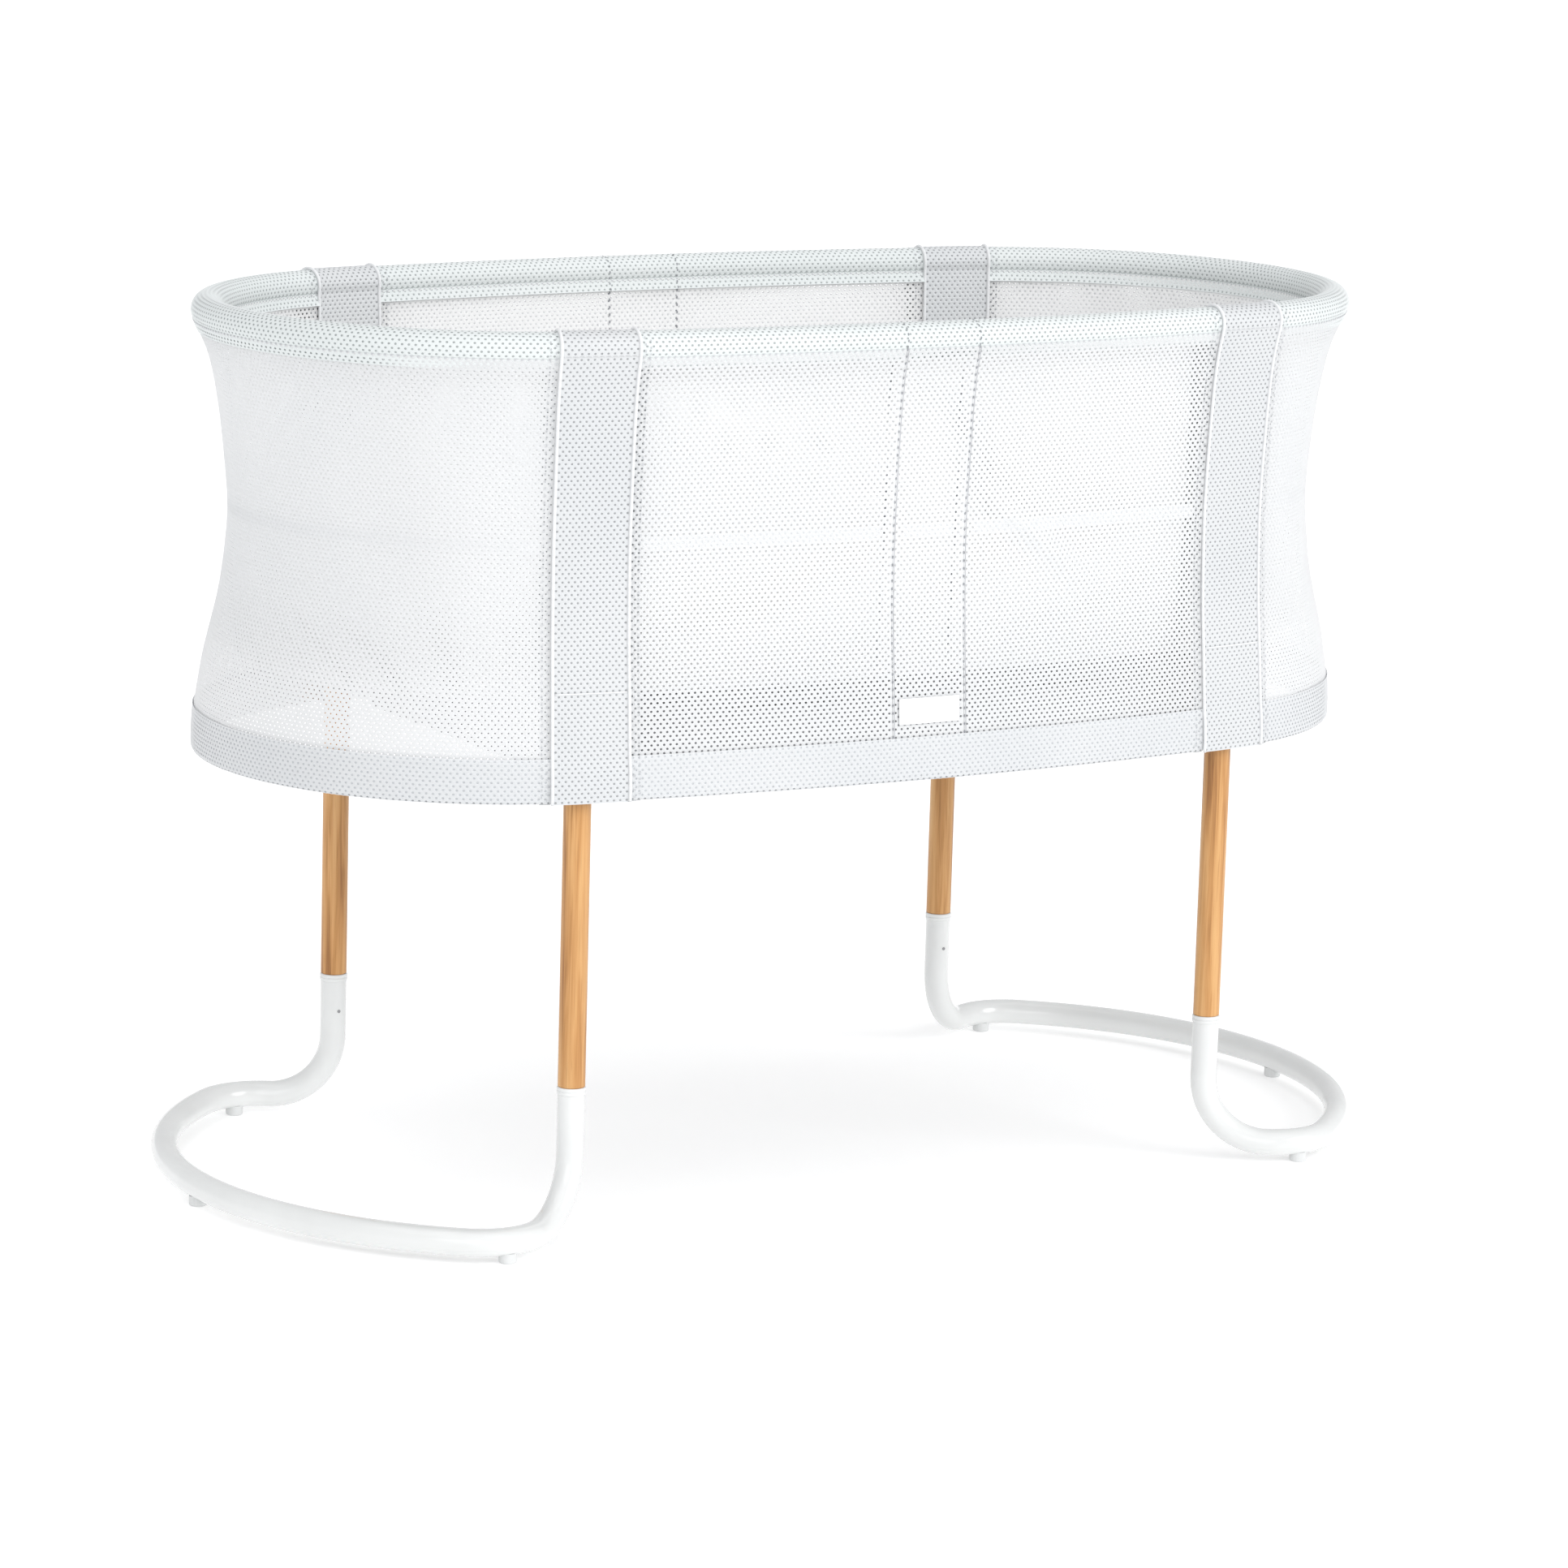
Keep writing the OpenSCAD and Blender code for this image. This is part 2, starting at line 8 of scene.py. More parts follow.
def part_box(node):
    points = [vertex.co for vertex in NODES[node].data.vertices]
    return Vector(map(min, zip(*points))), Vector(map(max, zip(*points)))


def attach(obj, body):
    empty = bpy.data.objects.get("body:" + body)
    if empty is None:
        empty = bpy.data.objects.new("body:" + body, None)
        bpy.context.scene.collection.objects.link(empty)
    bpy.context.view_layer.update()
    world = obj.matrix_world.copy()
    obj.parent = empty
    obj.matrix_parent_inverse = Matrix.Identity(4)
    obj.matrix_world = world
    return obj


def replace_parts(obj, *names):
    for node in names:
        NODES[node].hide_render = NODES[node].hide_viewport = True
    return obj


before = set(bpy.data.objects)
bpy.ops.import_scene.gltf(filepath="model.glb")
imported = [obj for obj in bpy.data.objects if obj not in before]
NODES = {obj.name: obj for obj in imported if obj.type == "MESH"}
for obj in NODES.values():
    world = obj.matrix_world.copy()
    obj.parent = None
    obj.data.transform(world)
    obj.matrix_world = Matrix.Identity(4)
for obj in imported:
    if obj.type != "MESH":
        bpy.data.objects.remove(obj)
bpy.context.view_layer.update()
MM = 0.001

# ---------------------------------------------------------------- camera
CAMERA_AT = Vector((-2.0072, -3.4262, 1.0386))
YAW, PITCH, ROLL = (math.radians(a) for a in (30.473, -11.215, 1.621))
LENS = 134.89


def add_camera():
    ahead = Vector((math.sin(YAW) * math.cos(PITCH), math.cos(YAW) * math.cos(PITCH), math.sin(PITCH)))
    right = Vector((math.cos(YAW), -math.sin(YAW), 0))
    up = right.cross(ahead)
    tilted = math.cos(ROLL) * right + math.sin(ROLL) * up
    top = math.cos(ROLL) * up - math.sin(ROLL) * right
    data = bpy.data.cameras.new("camera")
    data.lens, data.sensor_width, data.sensor_height = LENS, 36, 36
    data.clip_start, data.clip_end = 0.05, 100
    camera = bpy.data.objects.new("camera", data)
    bpy.context.scene.collection.objects.link(camera)
    turn = Matrix((tilted, top, -ahead)).transposed().to_4x4()
    camera.matrix_world = Matrix.Translation(CAMERA_AT) @ turn
    bpy.context.scene.camera = camera


# ---------------------------------------------------------------- the basket's oval, in millimetres
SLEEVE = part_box("rim_sleeve")
HALF_X, HALF_Y = SLEEVE[1].x / MM, SLEEVE[1].y / MM
RIM_TOP = SLEEVE[1].z / MM
END_C = 225.0
END_R = HALF_X - END_C
SIDE_R = (END_C ** 2 + HALF_Y ** 2 - END_R ** 2) / (2 * (HALF_Y - END_R))
SIDE_C = SIDE_R - HALF_Y
TURN = math.atan2(SIDE_C, END_C)
LEAN = math.pi / 2 - TURN
SIDE_S = SIDE_R * LEAN
END_S = 2 * END_R * TURN
ROUND_S = 4 * SIDE_S + 2 * END_S
TUBE_R = 10.5
RIM_Z = RIM_TOP - TUBE_R
HEM_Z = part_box("hem_sleeve")[0].z / MM
HEM_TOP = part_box("hem_sleeve")[1].z / MM
BOARD_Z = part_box("base_board")[0].z / MM
WAIST_Z = (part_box("waist_tape")[0].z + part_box("waist_tape")[1].z) / 2 / MM
BAND_IN = SIDE_R * math.asin(222 / SIDE_R)
BAND_OUT = SIDE_S + (TURN - math.acos((274 - END_C) / END_R)) * END_R
STRIP_A, STRIP_B = -32.5, 22.5


def around(s, inset):
    """Plan position and outward direction at s along the rim from the front's middle, set in by inset."""
    s = np.asarray(s, float)
    inset = np.broadcast_to(np.asarray(inset, float), s.shape)
    s = (s + ROUND_S / 2) % ROUND_S - ROUND_S / 2
    side, far = np.where(s < 0, -1.0, 1.0), np.abs(s)
    near = far <= SIDE_S
    back = far > SIDE_S + END_S
    a = np.where(near, far, ROUND_S / 2 - far) / SIDE_R
    b = -TURN + (far - SIDE_S) / END_R
    flip = np.where(near, -1.0, 1.0)
    on_side = near | back
    nx = np.where(on_side, np.sin(a), np.cos(b))
    ny = np.where(on_side, flip * np.cos(a), np.sin(b))
    r = np.where(on_side, SIDE_R, END_R) - inset
    x = np.where(on_side, 0.0, END_C) + r * nx
    y = r * ny - np.where(on_side, flip * SIDE_C, 0.0)
    return np.stack([side * x, y], 1), np.stack([side * nx, ny], 1)


def smooth(knots, rounds=3):
    """A polyline with its corners cut, as (x, y) points."""
    p = np.array(knots, float)
    for _ in range(rounds):
        q = np.empty((2 * len(p), 2))
        q[0], q[-1] = p[0], p[-1]
        q[1:-1:2] = 0.75 * p[:-1] + 0.25 * p[1:]
        q[2:-1:2] = 0.25 * p[:-1] + 0.75 * p[1:]
        p = q
    return p


class Profile:
    """A line of (inset, height) points that a sheet follows from its low v end to its high one."""

    def __init__(self, points):
        self.p = np.array(points, float)
        step = np.linalg.norm(np.diff(self.p, axis=0), axis=1)
        self.v = np.concatenate([[0], np.cumsum(step)])
        self.length = self.v[-1]

    def at(self, v):
        v = np.clip(v, 0, self.length)
        inset = np.interp(v, self.v, self.p[:, 0])
        z = np.interp(v, self.v, self.p[:, 1])
        ahead = np.clip(v + 0.5, 0, self.length)
        behind = np.clip(v - 0.5, 0, self.length)
        di = np.interp(ahead, self.v, self.p[:, 0]) - np.interp(behind, self.v, self.p[:, 0])
        dz = np.interp(ahead, self.v, self.p[:, 1]) - np.interp(behind, self.v, self.p[:, 1])
        size = np.maximum(np.hypot(di, dz), 1e-9)
        return inset, z, dz / size, di / size

    def v_at(self, z):
        """Distance along the line at a height, on a line whose heights only rise or only fall."""
        order = np.argsort(self.p[:, 1])
        return float(np.interp(z, self.p[order, 1], self.v[order]))


# inset and height of the walls' lines round the ends and along the sides, from the rim down
END_WALL = [(0.4, RIM_Z - 3.3), (0.6, RIM_Z - 5.3), (4.6, RIM_Z - 12.3), (12.6, RIM_Z - 31.3),
            (19.1, RIM_Z - 69.3), (23.2, WAIST_Z + 19), (24.6, WAIST_Z - 4), (22.6, WAIST_Z - 28),
            (18.6, WAIST_Z - 60), (14.1, BOARD_Z + 20), (9.1, BOARD_Z - 1), (6.6, BOARD_Z - 17),
            (3.8, HEM_TOP + 0.5)]
SIDE_WALL = [(0.4, RIM_Z - 3.3), (0.6, RIM_Z - 5.3), (2.6, RIM_Z - 12.3), (6.6, RIM_Z - 31.3),
             (9.6, RIM_Z - 69.3), (11.6, WAIST_Z + 19), (12.2, WAIST_Z - 4), (11.6, WAIST_Z - 28),
             (10.2, WAIST_Z - 60), (8.6, BOARD_Z + 20), (6.6, BOARD_Z - 1), (5.4, BOARD_Z - 17),
             (3.8, HEM_TOP + 0.5)]
END_LINING = [(20.4, RIM_Z - 5.3), (24.6, RIM_Z - 18.3), (28.1, RIM_Z - 58.3), (29.4, WAIST_Z),
              (29.6, WAIST_Z - 52), (29.2, BOARD_Z + 20), (29.6, BOARD_Z + 0.7)]
SIDE_LINING = [(20.4, RIM_Z - 5.3), (21.6, RIM_Z - 18.3), (22.6, RIM_Z - 58.3), (23.6, WAIST_Z),
               (26.1, WAIST_Z - 52), (28.8, BOARD_Z + 20), (29.6, BOARD_Z + 0.7)]


def folded(s):
    """Distance from the front's middle, and from the nearer side's middle, both along the rim."""
    s = (np.asarray(s, float) + ROUND_S / 2) % ROUND_S - ROUND_S / 2
    return s, np.minimum(np.abs(s), ROUND_S / 2 - np.abs(s))


def sidedness(s):
    """1 along the sides and corner bands, falling to 0 towards the middle of each end."""
    angle = TURN - (folded(s)[1] - SIDE_S) / END_R
    t = np.clip((angle - 0.55) / 0.75, 0, 1)
    return t * t * (3 - 2 * t)


def drawn(end, side):
    """How much less a wall is drawn in at its waist along the sides than round the ends."""
    rise = sorted(zip([z for _, z in end], [a - b for (a, _), (b, _) in zip(end, side)]))
    heights, less = np.array(rise).T
    return lambda s, z: -sidedness(s) * np.interp(z, heights, less)


outer_less, lining_less = drawn(END_WALL, SIDE_WALL), drawn(END_LINING, SIDE_LINING)


def crease(s, z):
    """Shift of the outer mesh from the ends' line, in mm: the shallower sides, the pull and soft creases."""
    s, near = folded(s)
    z = np.asarray(z, float)
    up = np.clip((z - HEM_Z - 33) / 240, 0, 1)
    fade = np.sin(math.pi * up) ** 0.8
    pull = np.zeros_like(near)
    for a, b, depth in ((28.0, BAND_IN, 1.3), (BAND_OUT, ROUND_S / 4, 1.0)):
        pull += depth * np.sin(math.pi * np.clip((near - a) / (b - a), 0, 1)) ** 2
    along = (s - 88) * 0.80 - (z - WAIST_Z + 15) * 0.60
    across = (s - 88) * 0.60 + (z - WAIST_Z + 15) * 0.80
    ridge = -4.6 * np.exp(-(across / 9) ** 2) * np.exp(-(along / 48) ** 2)
    ripple = 0.35 * np.sin(s / 17.0 + 0.9 * np.sin(z / 31.0)) * np.sin(z / 23.0 + s / 61.0)
    return outer_less(s, z) + fade * (pull + ridge + ripple)


# ---------------------------------------------------------------- mesh building
def add_mesh(name, points_mm, faces, material, body="basket", sharp=None):
    """A mesh object from points in millimetres, riding on a body."""
    mesh = bpy.data.meshes.new(name)
    points = np.asarray(points_mm, float) * MM
    if isinstance(faces, list):
        mesh.from_pydata([tuple(p) for p in points], [], faces)
    else:
        mesh.vertices.add(len(points))
        mesh.vertices.foreach_set("co", points.astype(np.float32).ravel())
        sides = faces.shape[1]
        mesh.loops.add(faces.size)
        mesh.loops.foreach_set("vertex_index", faces.astype(np.int32).ravel())
        mesh.polygons.add(len(faces))
        mesh.polygons.foreach_set("loop_start", np.arange(0, faces.size, sides, dtype=np.int32))
        mesh.update(calc_edges=True)
    mesh.validate()
    mesh.polygons.foreach_set("use_smooth", np.ones(len(mesh.polygons), bool))
    if sharp is not None:
        mesh.set_sharp_from_angle(angle=math.radians(sharp))
    mesh.materials.append(material)
    piece = bpy.data.objects.new(name, mesh)
    bpy.context.scene.collection.objects.link(piece)
    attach(piece, body)
    return piece


def place(profile, s, v, lift=0.0, shape=None):
    """Points on a profile swept round the oval; lift moves them outwards along the sheet's normal."""
    inset, z, out, rise = profile.at(v)
    if shape is not None:
        inset = inset + shape(s, z)
    inset = inset - lift * out
    z = z - lift * rise * -1.0
    plan, _ = around(s, inset)
    return np.column_stack([plan, z])


PITCH_S, PITCH_V = 4.4, 2.72
HOLE_S, HOLE_V = 0.92, 0.76


def lattice(name, profile, s0, s1, v0, v1, material, shape=None, lift=0.0, dimple=0.42,
            hole=1.0):
    """A knitted mesh: rows of staggered six-sided holes, each with its edge sunk a little into the cloth."""
    columns = max(2, round((s1 - s0) / PITCH_S))
    rows = max(2, round((v1 - v0) / PITCH_V))
    p, q = (s1 - s0) / columns, (v1 - v0) / rows
    i, j = np.meshgrid(np.arange(columns), np.arange(rows))
    i, j = i.ravel(), j.ravel()
    odd = j % 2
    keep = ~((odd == 1) & (i == columns - 1))
    i, j, odd = i[keep], j[keep], odd[keep]
    cs, cv = s0 + (i + 0.5 + 0.5 * odd) * p, v0 + (j + 0.5) * q
    ring_s = np.array([1, 1, 0, -1, -1, 0]) * p / 2
    ring_v = np.array([-1, 1, 2, 1, -1, -2]) * q / 3
    angle = np.radians([-32, 32, 90, 148, 212, 270])
    hole_s, hole_v = hole * HOLE_S * np.cos(angle), hole * HOLE_V * np.sin(angle)
    outer_s = cs[:, None] + ring_s
    outer_v = cv[:, None] + ring_v
    outer_v = np.where((j[:, None] == 0) & (ring_v < 0), v0, outer_v)
    outer_v = np.where((j[:, None] == rows - 1) & (ring_v > 0), v1, outer_v)
    odd_rows = np.arange(1, rows, 2)
    half_v = v0 + (odd_rows[:, None] + 0.5) * q + np.array([-2, -1, 1, 2]) * q / 3
    half_v = np.where((odd_rows[:, None] == rows - 1) & (np.array([0, 0, 1, 1]) > 0), v1, half_v)
    left_s = s0 + np.array([0, 0.5, 0.5, 0]) * p + 0 * half_v
    right_s = s1 - np.array([0, 0.5, 0.5, 0]) * p + 0 * half_v
    flat_s = np.concatenate([outer_s.ravel(), left_s.ravel(), right_s.ravel()])
    flat_v = np.concatenate([outer_v.ravel(), half_v.ravel(), half_v.ravel()])
    keys = np.round(np.column_stack([flat_s - s0, flat_v - v0]) * 200).astype(np.int64)
    _, first, same = np.unique(keys[:, 0] * 10_000_000 + keys[:, 1], return_index=True, return_inverse=True)
    net_s, net_v = flat_s[first], flat_v[first]
    n_net, n_cells = len(first), len(i)
    ring = same[: 6 * n_cells].reshape(-1, 6)
    inner = n_net + np.arange(6 * n_cells).reshape(-1, 6)
    nxt = [1, 2, 3, 4, 5, 0]
    quads = np.stack([ring, ring[:, nxt], inner[:, nxt], inner], 2).reshape(-1, 4)
    halves = same[6 * n_cells:].reshape(-1, 4)
    half_count = len(odd_rows)
    halves = np.concatenate([halves[:half_count], halves[half_count:, ::-1]])
    quads = np.concatenate([quads, halves])
    in_s, in_v = (cs[:, None] + hole_s).ravel(), (cv[:, None] + hole_v).ravel()
    points = np.concatenate([
        place(profile, net_s, net_v, lift, shape),
        place(profile, in_s, in_v, lift - dimple, shape)])
    return add_mesh(name, points, quads, material)


def sheet_grid(name, profile, s0, s1, v0, v1, step_s, step_v, material, shape=None, lift=0.0):
    """A plain sheet swept round part of the oval."""
    m, n = max(2, round((s1 - s0) / step_s)), max(2, round((v1 - v0) / step_v))
    s, v = np.meshgrid(np.linspace(s0, s1, m + 1), np.linspace(v0, v1, n + 1))
    points = place(profile, s.ravel(), v.ravel(), lift, shape)
    i = (np.arange(n)[:, None] * (m + 1) + np.arange(m)).ravel()
    return add_mesh(name, points, np.stack([i, i + 1, i + m + 2, i + m + 1], 1), material)


def tube(path, radius, sides=12):
    """Points and quads of a tube along a path, with closed ends."""
    path = np.asarray(path, float)
    ahead = np.gradient(path, axis=0)
    ahead /= np.linalg.norm(ahead, axis=1)[:, None]
    normal = np.cross(ahead[0], [0.31, 0.17, 0.93])
    normal /= np.linalg.norm(normal)
    rings = []
    radius = np.broadcast_to(np.asarray(radius, float), (len(path),))
    for k, point in enumerate(path):
        normal = normal - ahead[k] * np.dot(normal, ahead[k])
        normal /= np.linalg.norm(normal)
        side = np.cross(ahead[k], normal)
        a = np.linspace(0, 2 * math.pi, sides, endpoint=False)[:, None]
        rings.append(point + radius[k] * (np.cos(a) * normal + np.sin(a) * side))
    points = np.concatenate(rings + [path[:1], path[-1:]])
    k, a = np.meshgrid(np.arange(len(path) - 1), np.arange(sides), indexing="ij")
    b = (a + 1) % sides
    near, far = k * sides, (k + 1) * sides
    quads = np.stack([near + a, near + b, far + b, far + a], 2).reshape(-1, 4)
    start, end, top = len(points) - 2, len(points) - 1, (len(path) - 1) * sides
    caps = [(start, (c + 1) % sides, c) for c in range(sides)]
    caps += [(end, top + c, top + (c + 1) % sides) for c in range(sides)]
    return points, [tuple(f) for f in quads.tolist()] + caps


def lathe(profile, centre, sides=64):
    """Points and faces of a turned shape from (radius, height) pairs, the first and last on the axis."""
    a = np.linspace(0, 2 * math.pi, sides, endpoint=False)
    points, faces, rings = [], [], []
    for r, z in profile:
        if r == 0:
            rings.append([len(points)] * sides)
            points.append((centre[0], centre[1], z))
        else:
            rings.append(list(range(len(points), len(points) + sides)))
            points += [(centre[0] + r * math.cos(t), centre[1] + r * math.sin(t), z) for t in a]
    for low, high in zip(rings, rings[1:]):
        for k in range(sides):
            n = (k + 1) % sides
            face = [low[k], low[n], high[n], high[k]]
            faces.append(tuple(dict.fromkeys(face)))
    return points, faces


def merged(parts):
    """Several (points, faces) pairs as one."""
    points, faces = [], []
    for more, their_faces in parts:
        start = len(points)
        points += [tuple(p) for p in more]
        faces += [tuple(start + k for k in f) for f in their_faces]
    return points, faces


# ---------------------------------------------------------------- materials
def shader(name, colour, roughness, **sockets):
    material = bpy.data.materials.new(name)
    material.use_nodes = True
    tree = material.node_tree
    bsdf = tree.nodes["Principled BSDF"]
    bsdf.inputs["Base Color"].default_value = (*colour, 1)
    bsdf.inputs["Roughness"].default_value = roughness
    for socket, value in sockets.items():
        bsdf.inputs[socket.replace("_", " ")].default_value = value
    return material, tree, bsdf


def node(tree, kind, **settings):
    made = tree.nodes.new(kind)
    for key, value in settings.items():
        if key in made.inputs:
            made.inputs[key].default_value = value
        else:
            setattr(made, key, value)
    return made


def ramp(tree, source, stops):
    made = tree.nodes.new("ShaderNodeValToRGB")
    while len(made.color_ramp.elements) < len(stops):
        made.color_ramp.elements.new(0.5)
    for element, (at, colour) in zip(made.color_ramp.elements, stops):
        element.position, element.color = at, (*colour, 1)
    tree.links.new(source, made.inputs["Fac"])
    return made.outputs["Color"]


def coords(tree, scale=(1, 1, 1)):
    place_ = tree.nodes.new("ShaderNodeTexCoord")
    mapping = tree.nodes.new("ShaderNodeMapping")
    mapping.inputs["Scale"].default_value = scale
    tree.links.new(place_.outputs["Object"], mapping.inputs["Vector"])
    return mapping.outputs["Vector"]


def noise(tree, vector, scale, detail=3.0, rough=0.5, distortion=0.0):
    made = tree.nodes.new("ShaderNodeTexNoise")
    made.inputs["Scale"].default_value = scale
    made.inputs["Detail"].default_value = detail
    made.inputs["Roughness"].default_value = rough
    made.inputs["Distortion"].default_value = distortion
    tree.links.new(vector, made.inputs["Vector"])
    return made.outputs["Fac"]


def bump(tree, bsdf, height, strength, distance):
    made = tree.nodes.new("ShaderNodeBump")
    made.inputs["Strength"].default_value = strength
    made.inputs["Distance"].default_value = distance
    tree.links.new(height, made.inputs["Height"])
    tree.links.new(made.outputs["Normal"], bsdf.inputs["Normal"])


def cloth_material(name, light, dark, roughness, yarn=900.0, sheen=0.25, through=0.0):
    """Knitted polyester: faint shade changes, a fine yarn bump and some light passed through."""
    material, tree, bsdf = shader(name, light, roughness, Sheen_Weight=sheen, Sheen_Roughness=0.4)
    vector = coords(tree)
    shade = ramp(tree, noise(tree, vector, 9.0, 3), [(0.35, dark), (0.65, light)])
    tree.links.new(shade, bsdf.inputs["Base Color"])
    wave = node(tree, "ShaderNodeTexWave", Scale=yarn / 3, Distortion=1.5)
    wave.bands_direction = "Z"
    tree.links.new(vector, wave.inputs["Vector"])
    bump(tree, bsdf, wave.outputs["Fac"], 0.25, 0.0002)
    if through:
        glow = node(tree, "ShaderNodeBsdfTranslucent", Color=(*light, 1))
        blend = node(tree, "ShaderNodeMixShader", Fac=through)
        tree.links.new(bsdf.outputs["BSDF"], blend.inputs[1])
        tree.links.new(glow.outputs["BSDF"], blend.inputs[2])
        tree.links.new(blend.outputs["Shader"], tree.nodes["Material Output"].inputs["Surface"])
    return material


def paint_material(name, colour, roughness, coat=0.5, peel=0.12):
    """Powder coat: slight orange peel under a thin gloss."""
    material, tree, bsdf = shader(name, colour, roughness, Coat_Weight=coat, Coat_Roughness=0.12)
    vector = coords(tree)
    fine = noise(tree, vector, 420.0, 2)
    bump(tree, bsdf, fine, peel, 0.0002)
    dark = tuple(0.93 * c for c in colour)
    shade = ramp(tree, noise(tree, vector, 14.0, 4), [(0.3, dark), (0.62, colour)])
    tree.links.new(shade, bsdf.inputs["Base Color"])
    tree.links.new(ramp(tree, fine, [(0.2, (roughness - 0.05,) * 3), (0.8, (roughness + 0.08,) * 3)]),
                   bsdf.inputs["Roughness"])
    return material


def metal_material(name, colour, roughness):
    material, tree, bsdf = shader(name, colour, roughness, Metallic=1.0)
    vector = coords(tree, (1, 1, 8))
    gloss = ramp(tree, noise(tree, vector, 60.0, 4),
                 [(0.3, (roughness - 0.08,) * 3), (0.7, (roughness + 0.1,) * 3)])
    tree.links.new(gloss, bsdf.inputs["Roughness"])
    return material


def wood_material():
    """Oiled pine: long growth lines and fine pores."""
    material, tree, bsdf = shader("pine", (0.72, 0.45, 0.2), 0.45, Coat_Weight=0.15, Coat_Roughness=0.3)
    vector = coords(tree, (1, 1, 0.035))
    rings = noise(tree, vector, 240.0, 3, 0.55, 0.6)
    lines = ramp(tree, rings, [(0.30, (0.36, 0.155, 0.038)), (0.43, (0.56, 0.275, 0.085)),
                               (0.55, (0.66, 0.355, 0.13)), (0.72, (0.73, 0.43, 0.175))])
    broad = ramp(tree, noise(tree, coords(tree, (1, 1, 0.12)), 42.0, 2),
                 [(0.35, (0.84, 0.80, 0.74)), (0.65, (1.0, 1.0, 1.0))])
    mix = node(tree, "ShaderNodeMix", data_type="RGBA", blend_type="MULTIPLY")
    mix.inputs["Factor"].default_value = 1.0
    tree.links.new(lines, mix.inputs[6])
    tree.links.new(broad, mix.inputs[7])
    pores = noise(tree, coords(tree, (1, 1, 0.02)), 1500.0, 2)
    dark = ramp(tree, pores, [(0.30, (0.78, 0.72, 0.64)), (0.42, (1.0, 1.0, 1.0))])
    second = node(tree, "ShaderNodeMix", data_type="RGBA", blend_type="MULTIPLY")
    second.inputs["Factor"].default_value = 0.7
    tree.links.new(mix.outputs[2], second.inputs[6])
    tree.links.new(dark, second.inputs[7])
    tree.links.new(second.outputs[2], bsdf.inputs["Base Color"])
    bump(tree, bsdf, pores, 0.12, 0.0003)
    return material


def board_material():
    material, tree, bsdf = shader("fibreboard", (0.27, 0.275, 0.28), 0.7)
    fleck = noise(tree, coords(tree), 260.0, 5, 0.7)
    tree.links.new(ramp(tree, fleck, [(0.35, (0.24, 0.245, 0.25)), (0.6, (0.30, 0.305, 0.31))]),
                   bsdf.inputs["Base Color"])
    bump(tree, bsdf, fleck, 0.2, 0.0003)
    return material


MESH = cloth_material("mesh_white", (0.82, 0.827, 0.835), (0.80, 0.81, 0.82), 0.62, through=0.25)
LINING = cloth_material("mesh_lining", (0.97, 0.97, 0.97), (0.955, 0.955, 0.958), 0.65, through=0.3)
BAND = cloth_material("band_satin", (0.63, 0.64, 0.65), (0.60, 0.615, 0.63), 0.42, sheen=0.4)
# dark grey backing so the holes of the bands and seam tapes show dark: painted shade of the space behind the
# cloth
BAND_SHADE_BACK = cloth_material("band_shade_backing", (0.36, 0.37, 0.38), (0.33, 0.34, 0.35), 0.7)
SLEEVE_CLOTH = cloth_material("rim_mesh", (0.70, 0.73, 0.73), (0.67, 0.705, 0.705), 0.6)
# dark grey lining so the rim mesh's holes show dark: painted shade inside the sleeve
SLEEVE_SHADE_LINING = cloth_material("rim_shade_lining", (0.40, 0.43, 0.43), (0.36, 0.39, 0.39), 0.7)
BACKING = cloth_material("plain_backing", (0.90, 0.91, 0.92), (0.88, 0.89, 0.90), 0.7, through=0.3)
HEM_CLOTH = cloth_material("hem_mesh", (0.76, 0.77, 0.78), (0.73, 0.745, 0.76), 0.6, through=0.2)
HEM_BACKING = cloth_material("hem_backing", (0.62, 0.64, 0.66), (0.58, 0.60, 0.62), 0.7)
PIPING = cloth_material("piping_white", (0.76, 0.77, 0.78), (0.73, 0.74, 0.75), 0.5)
THREAD = cloth_material("grey_thread", (0.30, 0.31, 0.33), (0.24, 0.25, 0.27), 0.8, sheen=0.0)
PALE_THREAD = cloth_material("pale_thread", (0.55, 0.56, 0.58), (0.48, 0.49, 0.51), 0.8, sheen=0.0)
LABEL = cloth_material("label_satin", (0.80, 0.805, 0.81), (0.77, 0.78, 0.79), 0.38)
PAD = cloth_material("mattress_ticking", (0.71, 0.71, 0.695), (0.68, 0.68, 0.665), 0.8)
FOAM = cloth_material("foam", (0.82, 0.79, 0.70), (0.78, 0.75, 0.66), 0.9)
TUBE_PAINT = paint_material("powder_white", (0.74, 0.75, 0.745), 0.16, peel=0.02)
COLLAR = paint_material("collar_white", (0.76, 0.77, 0.765), 0.35, coat=0.2)
PAD_GREY = paint_material("foot_rubber", (0.68, 0.69, 0.69), 0.6, coat=0.0)
# dark grey frame paint, partly painted shade: the rails and brackets seen through the skirt stand in for the
# shadowed space under the base
FRAME_GREY_AND_SHADE = paint_material("frame_grey_and_shade", (0.27, 0.275, 0.285), 0.5, coat=0.1)
PIN = metal_material("zinc_pin", (0.55, 0.56, 0.58), 0.35)
SCREW = metal_material("screw_steel", (0.30, 0.30, 0.31), 0.4)
STRIP_STEEL = metal_material("spring_steel", (0.62, 0.63, 0.65), 0.38)
STAY = paint_material("stay_white", (0.80, 0.80, 0.80), 0.45, coat=0.1)
WOOD = wood_material()
BOARD = board_material()

